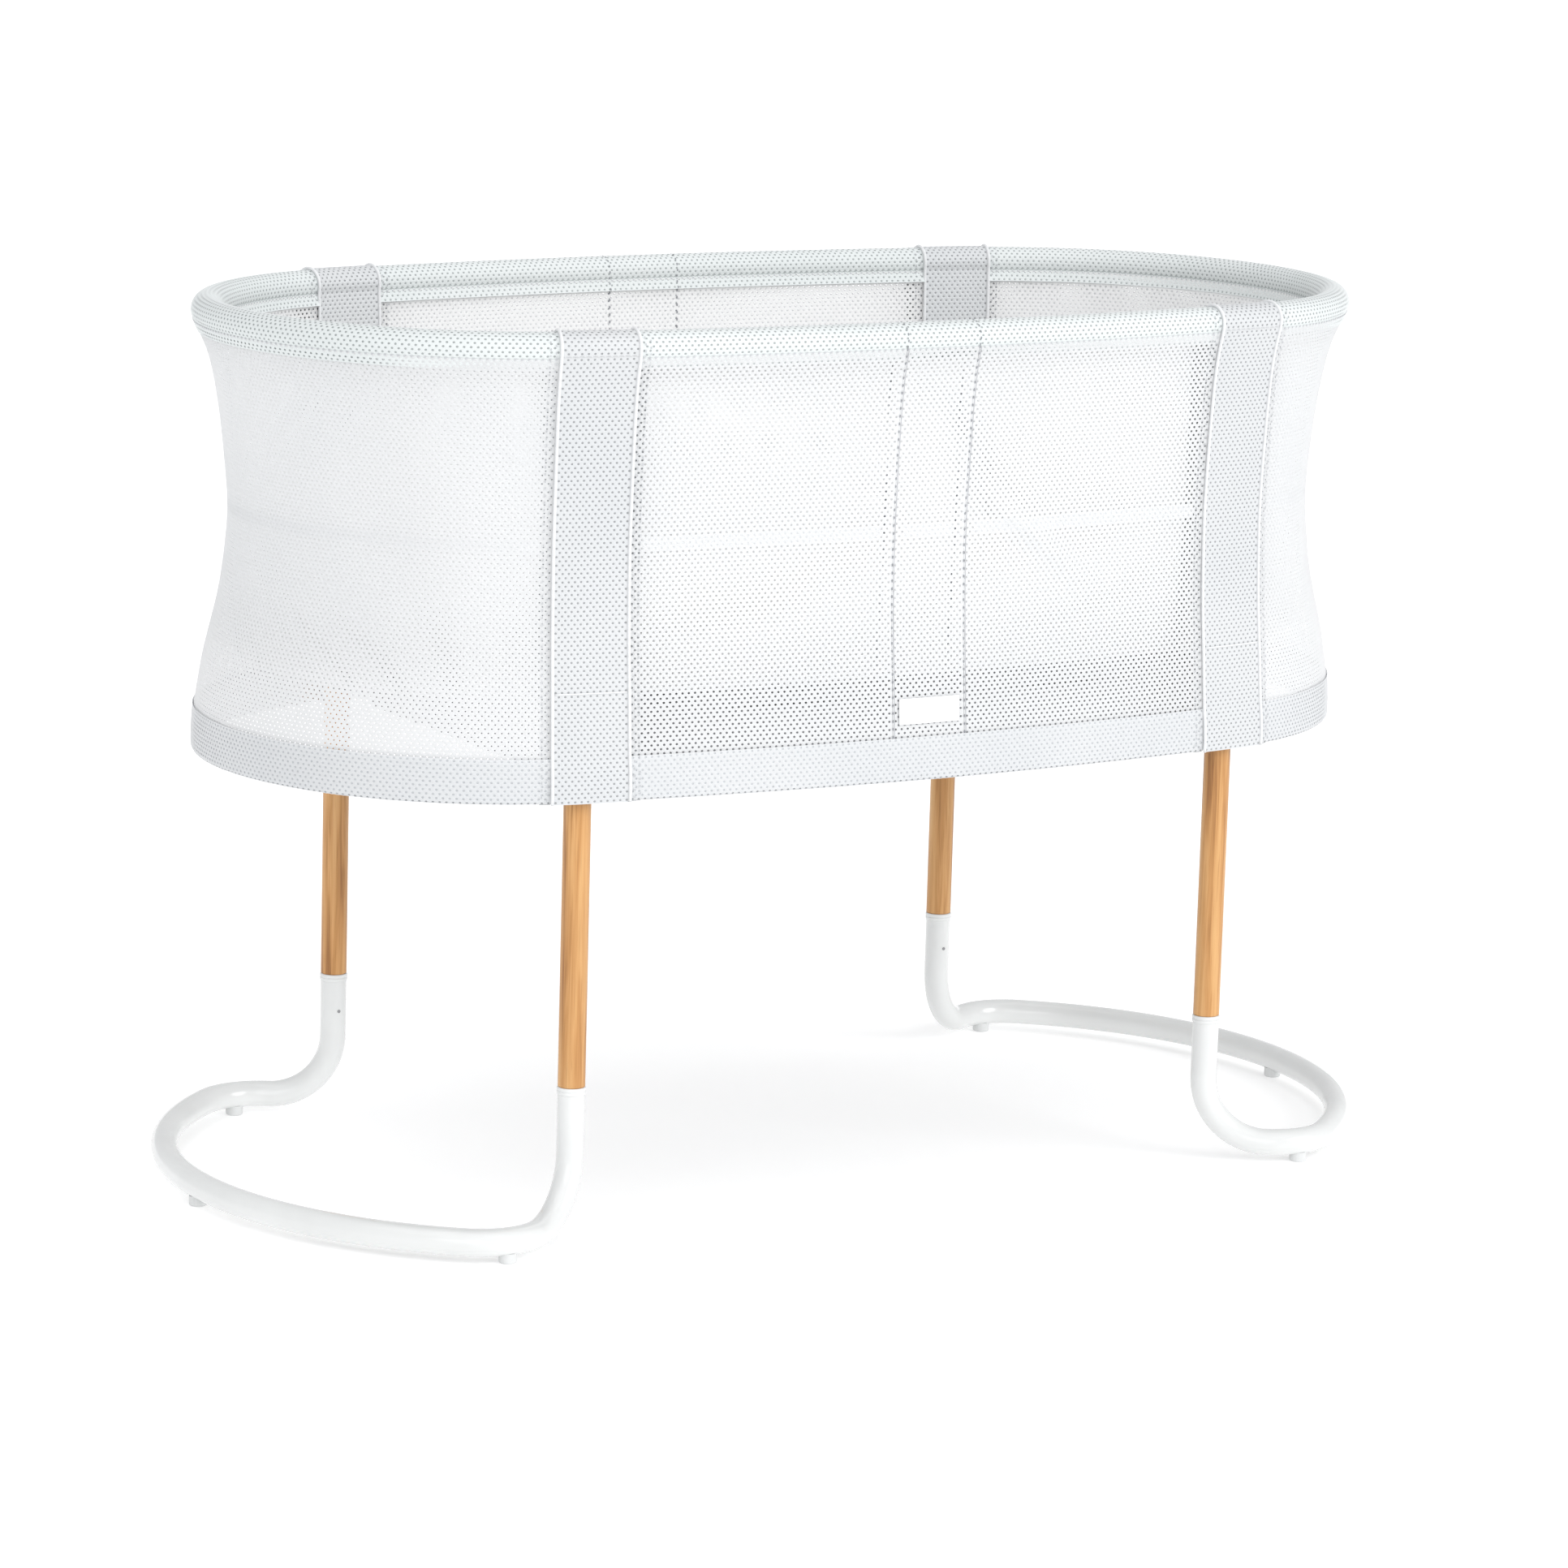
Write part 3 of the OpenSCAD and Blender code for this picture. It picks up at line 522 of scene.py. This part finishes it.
# ---------------------------------------------------------------- stand
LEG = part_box("leg_rear_right")
LEG_X, LEG_Y = ((LEG[0][k] + LEG[1][k]) / 2 / MM for k in (0, 1))
LEG_R = (LEG[1].x - LEG[0].x) / 2 / MM
WOOD_LOW, WOOD_HIGH = LEG[0].z / MM, LEG[1].z / MM
COLLAR_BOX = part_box("leg_collars")
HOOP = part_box("hoop_right")
HOOP_R = 9.0
HOOP_Z = HOOP[0].z / MM + HOOP_R
STUB_TOP = HOOP[1].z / MM
ELBOW, CORNER = 45.0, 42.0
ARRIVE, HOOP_TURN = math.radians(33), math.radians(52)
ELBOW_X, ELBOW_Y = LEG_X + ELBOW * math.cos(ARRIVE), LEG_Y + ELBOW * math.sin(ARRIVE)
CORNER_X, CORNER_Y = ELBOW_X + CORNER * math.sin(ARRIVE), ELBOW_Y - CORNER * math.cos(ARRIVE)
ARC_R = CORNER + CORNER_Y / math.sin(HOOP_TURN)
ARC_C = CORNER_X - (ARC_R - CORNER) * math.cos(HOOP_TURN)


def hoop_path():
    """The right-hand hoop's centre line, from the rear stub round to the front one."""
    points = [(LEG_X, LEG_Y, z) for z in np.linspace(STUB_TOP, HOOP_Z + ELBOW, 8)]
    for t in np.radians(np.linspace(4, 90, 23)):
        out = ELBOW * (1 - math.cos(t))
        points.append((LEG_X + out * math.cos(ARRIVE), LEG_Y + out * math.sin(ARRIVE),
                       HOOP_Z + ELBOW * (1 - math.sin(t))))
    for t in np.linspace(math.pi / 2 + ARRIVE, HOOP_TURN, 24)[1:]:
        points.append((CORNER_X + CORNER * math.cos(t), CORNER_Y + CORNER * math.sin(t), HOOP_Z))
    for t in np.linspace(HOOP_TURN, 0, 40)[1:]:
        points.append((ARC_C + ARC_R * math.cos(t), ARC_R * math.sin(t), HOOP_Z))
    half = np.array(points)
    return np.concatenate([half, (half * [1, -1, 1])[-2::-1]])


def add_stand():
    right = hoop_path()
    for name, sign in (("left", -1), ("right", 1)):
        points, faces = tube(right * [sign, 1, 1], HOOP_R, 40)
        piece = add_mesh("floor_hoop_" + name, points, faces, TUBE_PAINT, "stand", sharp=50)
        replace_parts(piece, "hoop_" + name)
    for side, sx in (("left", -1), ("right", 1)):
        for end, sy in (("front", -1), ("rear", 1)):
            r, low, high = LEG_R, WOOD_LOW, WOOD_HIGH
            line = [(0, low), (r - 0.6, low), (r, low + 0.6)]
            line += [(r, z) for z in np.linspace(low + 8, high - 8, 6)]
            line += [(r, high - 0.6), (r - 0.6, high), (0, high)]
            points, faces = lathe(line, (sx * LEG_X, sy * LEG_Y))
            name = f"leg_{end}_{side}"
            piece = add_mesh("wood_" + name, points, faces, WOOD, "stand", sharp=40)
            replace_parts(piece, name)
    low, high = COLLAR_BOX[0].z / MM, COLLAR_BOX[1].z / MM
    rings = []
    pads = []
    for sx in (-1, 1):
        for sy in (-1, 1):
            r = LEG_R + 0.5
            rings.append(lathe([(0, low), (r - 0.5, low), (r, low + 0.4), (r, low + 2.0),
                                (r - 0.35, low + 2.3), (r - 0.35, low + 2.6), (r, low + 2.9),
                                (r, high - 0.5), (r - 0.5, high), (0, high)],
                               (sx * LEG_X, sy * LEG_Y)))
        for x, y in ((ARC_C + ARC_R, 0), (CORNER_X, CORNER_Y + CORNER), (CORNER_X, -CORNER_Y - CORNER)):
            pads.append(lathe([(0, 0), (5.2, 0), (5.8, 0.4), (6.0, 1.2), (6.0, 6.8), (0, 6.8)],
                              (sx * x, y), 48))
    points, faces = merged(rings)
    collars = add_mesh("leg_collar_rings", points, faces, COLLAR, "stand", sharp=35)
    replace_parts(collars, "leg_collars")
    points, faces = merged(pads)
    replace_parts(add_mesh("foot_pads", points, faces, PAD_GREY, "stand", sharp=50), "hoop_feet")


def finish_cad():
    """Materials, and softened edges where they can be seen, for the CAD nodes that stay."""
    looks = {PIN: ["leg_spigots", "hanger_rod_left", "hanger_rod_right", "link_front_left",
                   "link_front_right", "link_rear_left", "link_rear_right", "basket_rod_left",
                   "basket_rod_right", "rim_plugs"],
             SCREW: ["leg_screws", "bracket_screws"],
             # the frame's dark grey also stands in as painted shade under the base
             FRAME_GREY_AND_SHADE: ["leg_brackets", "rail_front", "rail_rear", "end_rail_left", "end_rail_right",
                           "bearer_plates"],
             BOARD: ["base_board"],
             STRIP_STEEL: ["hem_strip"],
             TUBE_PAINT: ["rim_front", "rim_rear", "rim_left", "rim_right"],
             STAY: ["stay_front_left", "stay_front_right", "stay_rear_left", "stay_rear_right"]}
    for name, material in ((n, m) for m, names in looks.items() for n in names):
        piece = NODES[name]
        piece.data.materials.clear()
        piece.data.materials.append(material)
        if name in ("leg_brackets", "bearer_plates", "base_board") or "link" in name or "rail" in name:
            piece.modifiers.new("weld", "WELD").merge_threshold = 0.00001
            edge = piece.modifiers.new("edge", "BEVEL")
            edge.width, edge.segments, edge.limit_method = 0.5 * MM, 2, "ANGLE"
            edge.angle_limit = math.radians(40)
            edge.harden_normals = False


# ---------------------------------------------------------------- cloth
WALL = Profile(smooth(END_WALL[::-1]))
SIDE = Profile(smooth(SIDE_WALL[::-1]))
LINE = Profile(smooth(END_LINING))
SIDE_LINE = Profile(smooth(SIDE_LINING))


def roll(radius, low, high, out_flap, in_flap):
    """The line of a sheet over the rim: up the outer flap, round the tube, down the inner flap."""
    bend = [(TUBE_R - radius * math.cos(t), RIM_Z + radius * math.sin(t))
            for t in np.radians(np.linspace(low, high, 40))]
    return Profile(np.array(list(out_flap) + bend + list(in_flap)))


SLEEVE_LINE = roll(10.75, -26, 206, [(3.9, RIM_Z - 13.0), (2.2, RIM_Z - 9.6)],
                   [(20.9, RIM_Z - 6.8), (23.4, RIM_Z - 12.8)])
SLEEVE_BACK = roll(10.3, -24, 204, [(4.4, RIM_Z - 12.8), (2.7, RIM_Z - 9.4)],
                   [(20.4, RIM_Z - 6.8), (22.9, RIM_Z - 12.6)])
HEM_LINE = Profile(smooth([(8.6, HEM_TOP), (8.6, HEM_Z + 3), (8.2, HEM_Z), (2.4, HEM_Z), (1.8, HEM_Z + 3),
                           (2.0, HEM_Z + 14), (3.0, HEM_TOP + 1.5)], 2))
HEM_BACK = Profile(smooth([(8.0, HEM_TOP - 0.5), (8.0, HEM_Z + 3), (7.6, HEM_Z + 0.7), (3.0, HEM_Z + 0.7),
                           (2.5, HEM_Z + 3), (2.7, HEM_Z + 14), (3.6, HEM_TOP + 0.5)], 2))


def band_line(off):
    """A corner band's line: up the wall, over the rim and down the lining, off mm proud of them."""
    wall = SIDE.p[:-4] - [off, 0]
    hem = [(1.8 - off, HEM_Z), (1.6 - off, HEM_Z + 8), (2.4 - off, HEM_Z + 20)]
    bend = [(TUBE_R - (10.6 + off) * math.cos(t), RIM_Z + (10.6 + off) * math.sin(t))
            for t in np.radians(np.linspace(-22, 202, 36))]
    lining = SIDE_LINE.p[4:] + [off, 0]
    return Profile(np.concatenate([hem, wall[1:], bend, lining]))


def dashes(name, profile, stops, material, lift=0.25, half=(0.42, 1.0), shape=None, top=0.22):
    """Small domed stitches at (s, v) stops, each half[0] wide along s and half[1] tall along v."""
    stops = np.asarray(stops, float)
    ring = np.radians(np.arange(0, 360, 60))
    s, v = stops[:, :1], stops[:, 1:]
    ring_s, ring_v = s + half[0] * np.cos(ring), v + half[1] * np.sin(ring)
    edge = place(profile, ring_s.ravel(), ring_v.ravel(), lift, shape)
    peak = place(profile, s.ravel(), v.ravel(), lift + top, shape)
    n = len(stops)
    base = np.arange(n)[:, None] * 6
    a, b = base + np.arange(6), base + (np.arange(6) + 1) % 6
    tip = 6 * n + np.arange(n)[:, None] + 0 * a
    faces = np.stack([a, b, tip], 2).reshape(-1, 3)
    return add_mesh(name, np.concatenate([edge, peak]), faces, material)


def rib(profile, s, v0, v1, radius, lift, step=3.0, shape=None, sides=8):
    """A thin cord that lies on a profile at one place along the oval."""
    v = np.linspace(v0, v1, max(3, round((v1 - v0) / step)))
    return tube(place(profile, np.full_like(v, s), v, lift, shape), radius, sides)


def ring_cord(profile, s0, s1, v, radius, lift, step=6.0, shape=None, sides=6):
    s = np.linspace(s0, s1, max(3, round((s1 - s0) / step)))
    return tube(place(profile, s, np.full_like(s, v), lift, shape), radius, sides)


# the outer mesh panels, the corner bands and the lining panels, as (name, start, end) along the rim
OUTER = [("outer_front_left", -BAND_IN, STRIP_A), ("outer_front_centre", STRIP_A, STRIP_B),
         ("outer_front_right", STRIP_B, BAND_IN), ("outer_end_right", BAND_OUT, ROUND_S / 2 - BAND_OUT),
         ("outer_rear_right", ROUND_S / 2 - BAND_IN, ROUND_S / 2 - STRIP_B),
         ("outer_rear_centre", ROUND_S / 2 - STRIP_B, ROUND_S / 2 - STRIP_A),
         ("outer_rear_left", ROUND_S / 2 - STRIP_A, ROUND_S / 2 + BAND_IN),
         ("outer_end_left", ROUND_S / 2 + BAND_OUT, ROUND_S - BAND_OUT)]
CORNERS = [("front_right", BAND_IN, BAND_OUT), ("rear_right", ROUND_S / 2 - BAND_OUT, ROUND_S / 2 - BAND_IN),
           ("rear_left", ROUND_S / 2 + BAND_IN, ROUND_S / 2 + BAND_OUT), ("front_left", -BAND_OUT, -BAND_IN)]
LINERS = [("lining_front", -SIDE_S, SIDE_S), ("lining_end_right", SIDE_S, SIDE_S + END_S),
          ("lining_rear", SIDE_S + END_S, ROUND_S - SIDE_S - END_S),
          ("lining_end_left", ROUND_S - SIDE_S - END_S, ROUND_S - SIDE_S)]
WALL_HIGH = WALL.length - 2.5
PANEL_GAP = 0.15
STITCH_STEP = 5.2
FLAP_IN, FLAP_OUT = 0.8, 8.2
TAPE_HALF, TAPE_END = 4, 9
LABEL_FROM, LABEL_TO = -28, 18


def add_walls():
    for name, s0, s1 in OUTER:
        piece = lattice("mesh_" + name, WALL, s0 + PANEL_GAP, s1 - PANEL_GAP, 0, WALL_HIGH, MESH,
                        shape=crease, hole=0.62 if "end" in name else 1.0)
        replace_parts(piece, name)
    for name, s0, s1 in LINERS:
        piece = lattice("mesh_" + name, LINE, s0 + PANEL_GAP, s1 - PANEL_GAP, 0.5, LINE.length, LINING,
                        dimple=0.3, shape=lining_less)
        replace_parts(piece, name)


def add_sleeves():
    runs = [(-BAND_IN, BAND_IN), (BAND_OUT, ROUND_S / 2 - BAND_OUT),
            (ROUND_S / 2 - BAND_IN, ROUND_S / 2 + BAND_IN), (ROUND_S / 2 + BAND_OUT, ROUND_S - BAND_OUT)]
    for (s0, s1), where in zip(runs, ("front", "right", "rear", "left")):
        over = lattice("rim_mesh_" + where, SLEEVE_LINE, s0, s1, 0, SLEEVE_LINE.length, SLEEVE_CLOTH,
                       dimple=0.3)
        # the dark lining under the rim mesh is painted shade
        under = sheet_grid("rim_shade_lining_" + where, SLEEVE_BACK, s0, s1, 0, SLEEVE_BACK.length, 6, 2.5,
                           SLEEVE_SHADE_LINING)
        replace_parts(over, "rim_sleeve")
        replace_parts(under, "rim_sleeve")
        hem = lattice("hem_mesh_" + where, HEM_LINE, s0, s1, 0, HEM_LINE.length, HEM_CLOTH, dimple=0.3)
        hem_in = sheet_grid("hem_lining_" + where, HEM_BACK, s0, s1, 0, HEM_BACK.length, 6, 2.5,
                            HEM_BACKING)
        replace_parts(hem, "hem_sleeve")
        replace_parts(hem_in, "hem_sleeve")
        row_v = SLEEVE_LINE.v[2] - 1.2
        s = np.arange(s0 + 2, s1 - 1, PITCH_S)
        dashes("rim_stitches_" + where, SLEEVE_LINE, np.column_stack([s, np.full_like(s, row_v)]),
               PALE_THREAD, half=(0.85, 0.7))
        inner_v = SLEEVE_LINE.length - row_v
        dashes("rim_inner_stitches_" + where, SLEEVE_LINE, np.column_stack([s, np.full_like(s, inner_v)]),
               PALE_THREAD, half=(0.75, 0.6))


def add_bands():
    face, back = band_line(0.9), band_line(0.35)
    for where, s0, s1 in CORNERS:
        cloth = lattice("band_mesh_" + where, face, s0, s1, 0, face.length, BAND, dimple=0.4,
                        hole=0.95)
        # the dark backing under each band's holes is painted shade
        lining = sheet_grid("band_shade_backing_" + where, back, s0, s1, 0, back.length, 3, 3, BAND_SHADE_BACK)
        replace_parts(cloth, "band_" + where)
        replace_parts(lining, "band_" + where)
        cords, stitches = [], []
        for s, way in ((s0, -1), (s1, 1)):
            cords.append(rib(face, s, 0, face.length, 1.15, 0.3))
            v = np.arange(3, face.length - 4, 4.6)
            stitches.append(np.column_stack([np.full_like(v, s + way * 3.4), v]))
            v = v + 2.3
            stitches.append(np.column_stack([np.full_like(v[:-1], s + way * 7.0), v[:-1]]))
        v = float(np.interp(BOARD_Z + 26, face.p[:25, 1], face.v[:25]))
        points, faces = ring_cord(face, s0 + 1.5, s1 - 1.5, v, 0.55, 0.1, step=3.0)
        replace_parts(add_mesh("band_fold_" + where, points, faces, PIPING), "band_" + where)
        points, faces = merged(cords)
        piping = add_mesh("band_piping_" + where, points, faces, PIPING)
        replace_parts(piping, "band_piping")
        # seam tapes just behind the mesh beside each band: the real seam allowance, coloured dark grey so its
        # holes show painted shade
        for side, low, high in (("a", s0 - FLAP_OUT, s0 - FLAP_IN), ("b", s1 + FLAP_IN, s1 + FLAP_OUT)):
            flap = sheet_grid(f"seam_shade_tape_{side}_{where}", face, low, high, 0, face.length, 1.5, 3, BAND_SHADE_BACK,
                              lift=-2.1)
            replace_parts(flap, "band_piping")
        dashes("band_stitches_" + where, face, np.concatenate(stitches), PALE_THREAD, lift=-0.2,
               half=(0.45, 1.0))


def seam_stops(seams, v):
    """The same row of stitches down each seam, as (s, v) stops."""
    return np.concatenate([np.column_stack([np.full_like(v, at, dtype=float), v]) for at in seams])


def add_seams():
    """The needle-hole seams either side of the centre strips, on both layers, and the waist seam."""
    seams = [STRIP_A, STRIP_B, ROUND_S / 2 - STRIP_A, ROUND_S / 2 - STRIP_B]
    outer = seam_stops(seams, np.arange(2, WALL_HIGH, STITCH_STEP))
    inner = seam_stops(seams, np.arange(4, LINE.length, STITCH_STEP))
    over = seam_stops(seams, np.arange(1.0, SLEEVE_LINE.length - 1, 4.2))
    dashes("outer_seam_stitches", WALL, outer, THREAD, lift=0.3, half=(0.6, 1.15), shape=crease)
    lines = [rib(WALL, at + 1.3, 0, WALL_HIGH, 0.28, 0.1, shape=crease, sides=5) for at in seams]
    points, faces = merged(lines)
    add_mesh("outer_seam_folds", points, faces, PALE_THREAD)
    dashes("lining_seam_stitches_out", LINE, inner, THREAD, lift=-0.8, half=(1.0, 1.7),
           shape=lining_less, top=-0.2)
    dashes("lining_seam_stitches_in", LINE, inner, THREAD, lift=0.4, half=(0.7, 1.2),
           shape=lining_less)
    dashes("rim_seam_stitches", SLEEVE_LINE, over, THREAD, half=(0.55, 1.0))
    waist_v = WALL.v_at(WAIST_Z)
    for name, s0, s1 in OUTER:
        where = name.replace("outer_", "")
        tape = sheet_grid("waist_tape_" + where, WALL, s0 + TAPE_END, s1 - TAPE_END, waist_v - TAPE_HALF,
                          waist_v + TAPE_HALF, 6, 2.0, BACKING, shape=crease, lift=-0.9)
        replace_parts(tape, "waist_tape")


def add_label():
    """A blank woven label, folded under at both ends."""
    low, high = (corner.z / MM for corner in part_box("fabric_label"))
    v0, v1 = WALL.v_at(low), WALL.v_at(high)
    m, n = 46, 14
    s, v = np.meshgrid(np.linspace(LABEL_FROM, LABEL_TO, m + 1), np.linspace(v0, v1, n + 1))
    edge = np.minimum(np.minimum(s - LABEL_FROM, LABEL_TO - s) / 3.0, np.minimum(v - v0, v1 - v) / 0.8)
    lift = 1.1 + 0.35 * np.clip(edge, 0, 1) + 0.12 * np.sin(s / 5.0) * np.clip(edge, 0, 1)
    face = place(WALL, s.ravel(), v.ravel(), lift.ravel(), crease)
    back = place(WALL, s.ravel(), v.ravel(), 0.75, crease)
    i = (np.arange(n)[:, None] * (m + 1) + np.arange(m)).ravel()
    top = np.stack([i, i + 1, i + m + 2, i + m + 1], 1)
    count = (m + 1) * (n + 1)
    border = ([k for k in range(m + 1)] + [(r + 1) * (m + 1) - 1 for r in range(1, n + 1)]
              + [n * (m + 1) + k for k in range(m - 1, -1, -1)] + [r * (m + 1) for r in range(n - 1, 0, -1)])
    walls = np.array([(a, b, b + count, a + count) for a, b in zip(border, border[-1:] + border[:-1])])
    faces = np.concatenate([top, (top + count)[:, ::-1], walls])
    label = add_mesh("blank_label", np.concatenate([face, back]), faces, LABEL, sharp=50)
    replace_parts(label, "fabric_label")


def oval_pad(rows, inset):
    """Points and faces of a closed oval pad from (inset, height) rows, low to high."""
    s = np.linspace(0, ROUND_S, 120, endpoint=False)
    points = np.concatenate([np.column_stack([around(s, inset + d)[0], np.full(len(s), z)]) for d, z in rows])
    n = len(s)
    faces = [(k * n + a, k * n + (a + 1) % n, (k + 1) * n + (a + 1) % n, (k + 1) * n + a)
             for k in range(len(rows) - 1) for a in range(n)]
    faces.append(tuple(range((len(rows) - 1) * n, len(rows) * n)))
    faces.append(tuple(range(n - 1, -1, -1)))
    return points, faces


def add_mattress():
    """A pad in a fitted cover, crowned by a short cloth simulation round the foam core."""
    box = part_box("mattress_cover")
    low, high = box[0].z / MM, box[1].z / MM
    inset = (HALF_X - box[1].x / MM)
    middle = (low + high) / 2
    points, faces = oval_pad([(14, low + 1.6), (8, low + 3), (5.5, low + 8), (5, middle), (5.5, high - 11),
                              (8, high - 6), (14, high - 4.2), (40, high - 3.4), (110, high - 3.0)], inset)
    core = add_mesh("mattress_foam", points, faces, FOAM, "mattress")
    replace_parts(core, "mattress_core")
    points, faces = oval_pad([(9, low), (3.5, low + 1.2), (1.0, low + 6), (0.6, middle), (1.0, high - 8),
                              (2.6, high - 3.4), (8, high - 1.4), (24, high - 0.8), (60, high - 0.6),
                              (110, high - 0.6)], inset)
    shell = add_mesh("mattress_shell", points, faces, PAD, "mattress")
    remesh = shell.modifiers.new("grid", "REMESH")
    remesh.mode, remesh.voxel_size = "VOXEL", 0.006
    seen = shell.evaluated_get(bpy.context.evaluated_depsgraph_get())
    mesh = bpy.data.meshes.new_from_object(seen)
    bpy.data.objects.remove(shell)
    pad = bpy.data.objects.new("mattress_pad", mesh)
    bpy.context.scene.collection.objects.link(pad)
    swell(pad, (high - 7) * MM, 0.004)
    mesh.polygons.foreach_set("use_smooth", np.ones(len(mesh.polygons), bool))
    pad.modifiers.new("round", "SUBSURF").levels = 1
    pad.modifiers["round"].render_levels = 1
    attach(pad, "mattress")
    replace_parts(pad, "mattress_cover")
    cords = []
    for z in (high - 2.6, low + 1.6):
        plan, _ = around(np.linspace(0, ROUND_S, 361), inset + 3.2)
        cords.append(tube(np.column_stack([plan, np.full(361, z)]), 1.3, 8))
    points, faces = merged(cords)
    piping = add_mesh("mattress_piping", points, faces, PAD, "mattress")
    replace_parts(piping, "mattress_cover")


def swell(piece, pinned_below, cap):
    """A short cloth run: the pad's top crowns between its sewn edges, no point moving more than the cap."""
    mesh = piece.data
    rest = np.empty(3 * len(mesh.vertices), np.float32)
    mesh.vertices.foreach_get("co", rest)
    rest = rest.reshape(-1, 3)
    held = piece.vertex_groups.new(name="sewn")
    held.add([int(k) for k in np.nonzero(rest[:, 2] < pinned_below)[0]], 1.0, "REPLACE")
    cloth = piece.modifiers.new("cloth", "CLOTH")
    settings = cloth.settings
    settings.quality, settings.mass = 5, 0.3
    settings.tension_stiffness = settings.compression_stiffness = 12
    settings.use_pressure, settings.uniform_pressure_force = True, 4.0
    settings.effector_weights.gravity = 0
    settings.vertex_group_mass = "sewn"
    cloth.point_cache.frame_start, cloth.point_cache.frame_end = 1, 20
    for frame_number in range(1, 21):
        bpy.context.scene.frame_set(frame_number)
    done = piece.evaluated_get(bpy.context.evaluated_depsgraph_get()).to_mesh()
    moved = np.empty_like(rest).ravel()
    done.vertices.foreach_get("co", moved)
    step = moved.reshape(-1, 3) - rest
    size = np.linalg.norm(step, axis=1)[:, None]
    step *= cap * np.tanh(size / cap) / np.maximum(size, 1e-9)
    piece.modifiers.remove(cloth)
    mesh.vertices.foreach_set("co", (rest + step).ravel())
    mesh.update()
    bpy.context.scene.frame_set(1)


# name, strength, spread in degrees and direction of each soft light
SUNS = [("top", 0.45, 60, (0.2, 0.3, -1.0)), ("side", 1.1, 35, (-0.45, 0.8, -0.40)),
        ("fill", 0.45, 40, (0.55, 0.75, -0.35))]


def add_room():
    mesh = bpy.data.meshes.new("floor")
    mesh.from_pydata([(-40, -40, 0), (40, -40, 0), (40, 40, 0), (-40, 40, 0)], [], [(0, 1, 2, 3)])
    floor = bpy.data.objects.new("floor", mesh)
    bpy.context.scene.collection.objects.link(floor)
    material, tree, bsdf = shader("floor", (0.93, 0.93, 0.93), 0.9, Emission_Color=(1, 1, 1, 1),
                                  Emission_Strength=0.25)
    mesh.materials.append(material)
    world = bpy.data.worlds.new("studio")
    bpy.context.scene.world = world
    world.use_nodes = True
    world.node_tree.nodes["Background"].inputs["Color"].default_value = (0.985, 0.99, 1.0, 1)
    world.node_tree.nodes["Background"].inputs["Strength"].default_value = 0.80
    for name, energy, spread, way in SUNS:
        sun = bpy.data.lights.new(name, "SUN")
        sun.energy, sun.angle = energy, math.radians(spread)
        lamp = bpy.data.objects.new(name, sun)
        lamp.rotation_euler = Vector(way).to_track_quat("-Z", "Y").to_euler()
        bpy.context.scene.collection.objects.link(lamp)
    scene = bpy.context.scene
    scene.view_settings.view_transform = "Standard"
    scene.view_settings.look = "None"
    scene.view_settings.exposure = 0.0


add_camera()
add_stand()
finish_cad()
add_walls()
add_sleeves()
add_bands()
add_seams()
add_label()
add_mattress()
add_room()
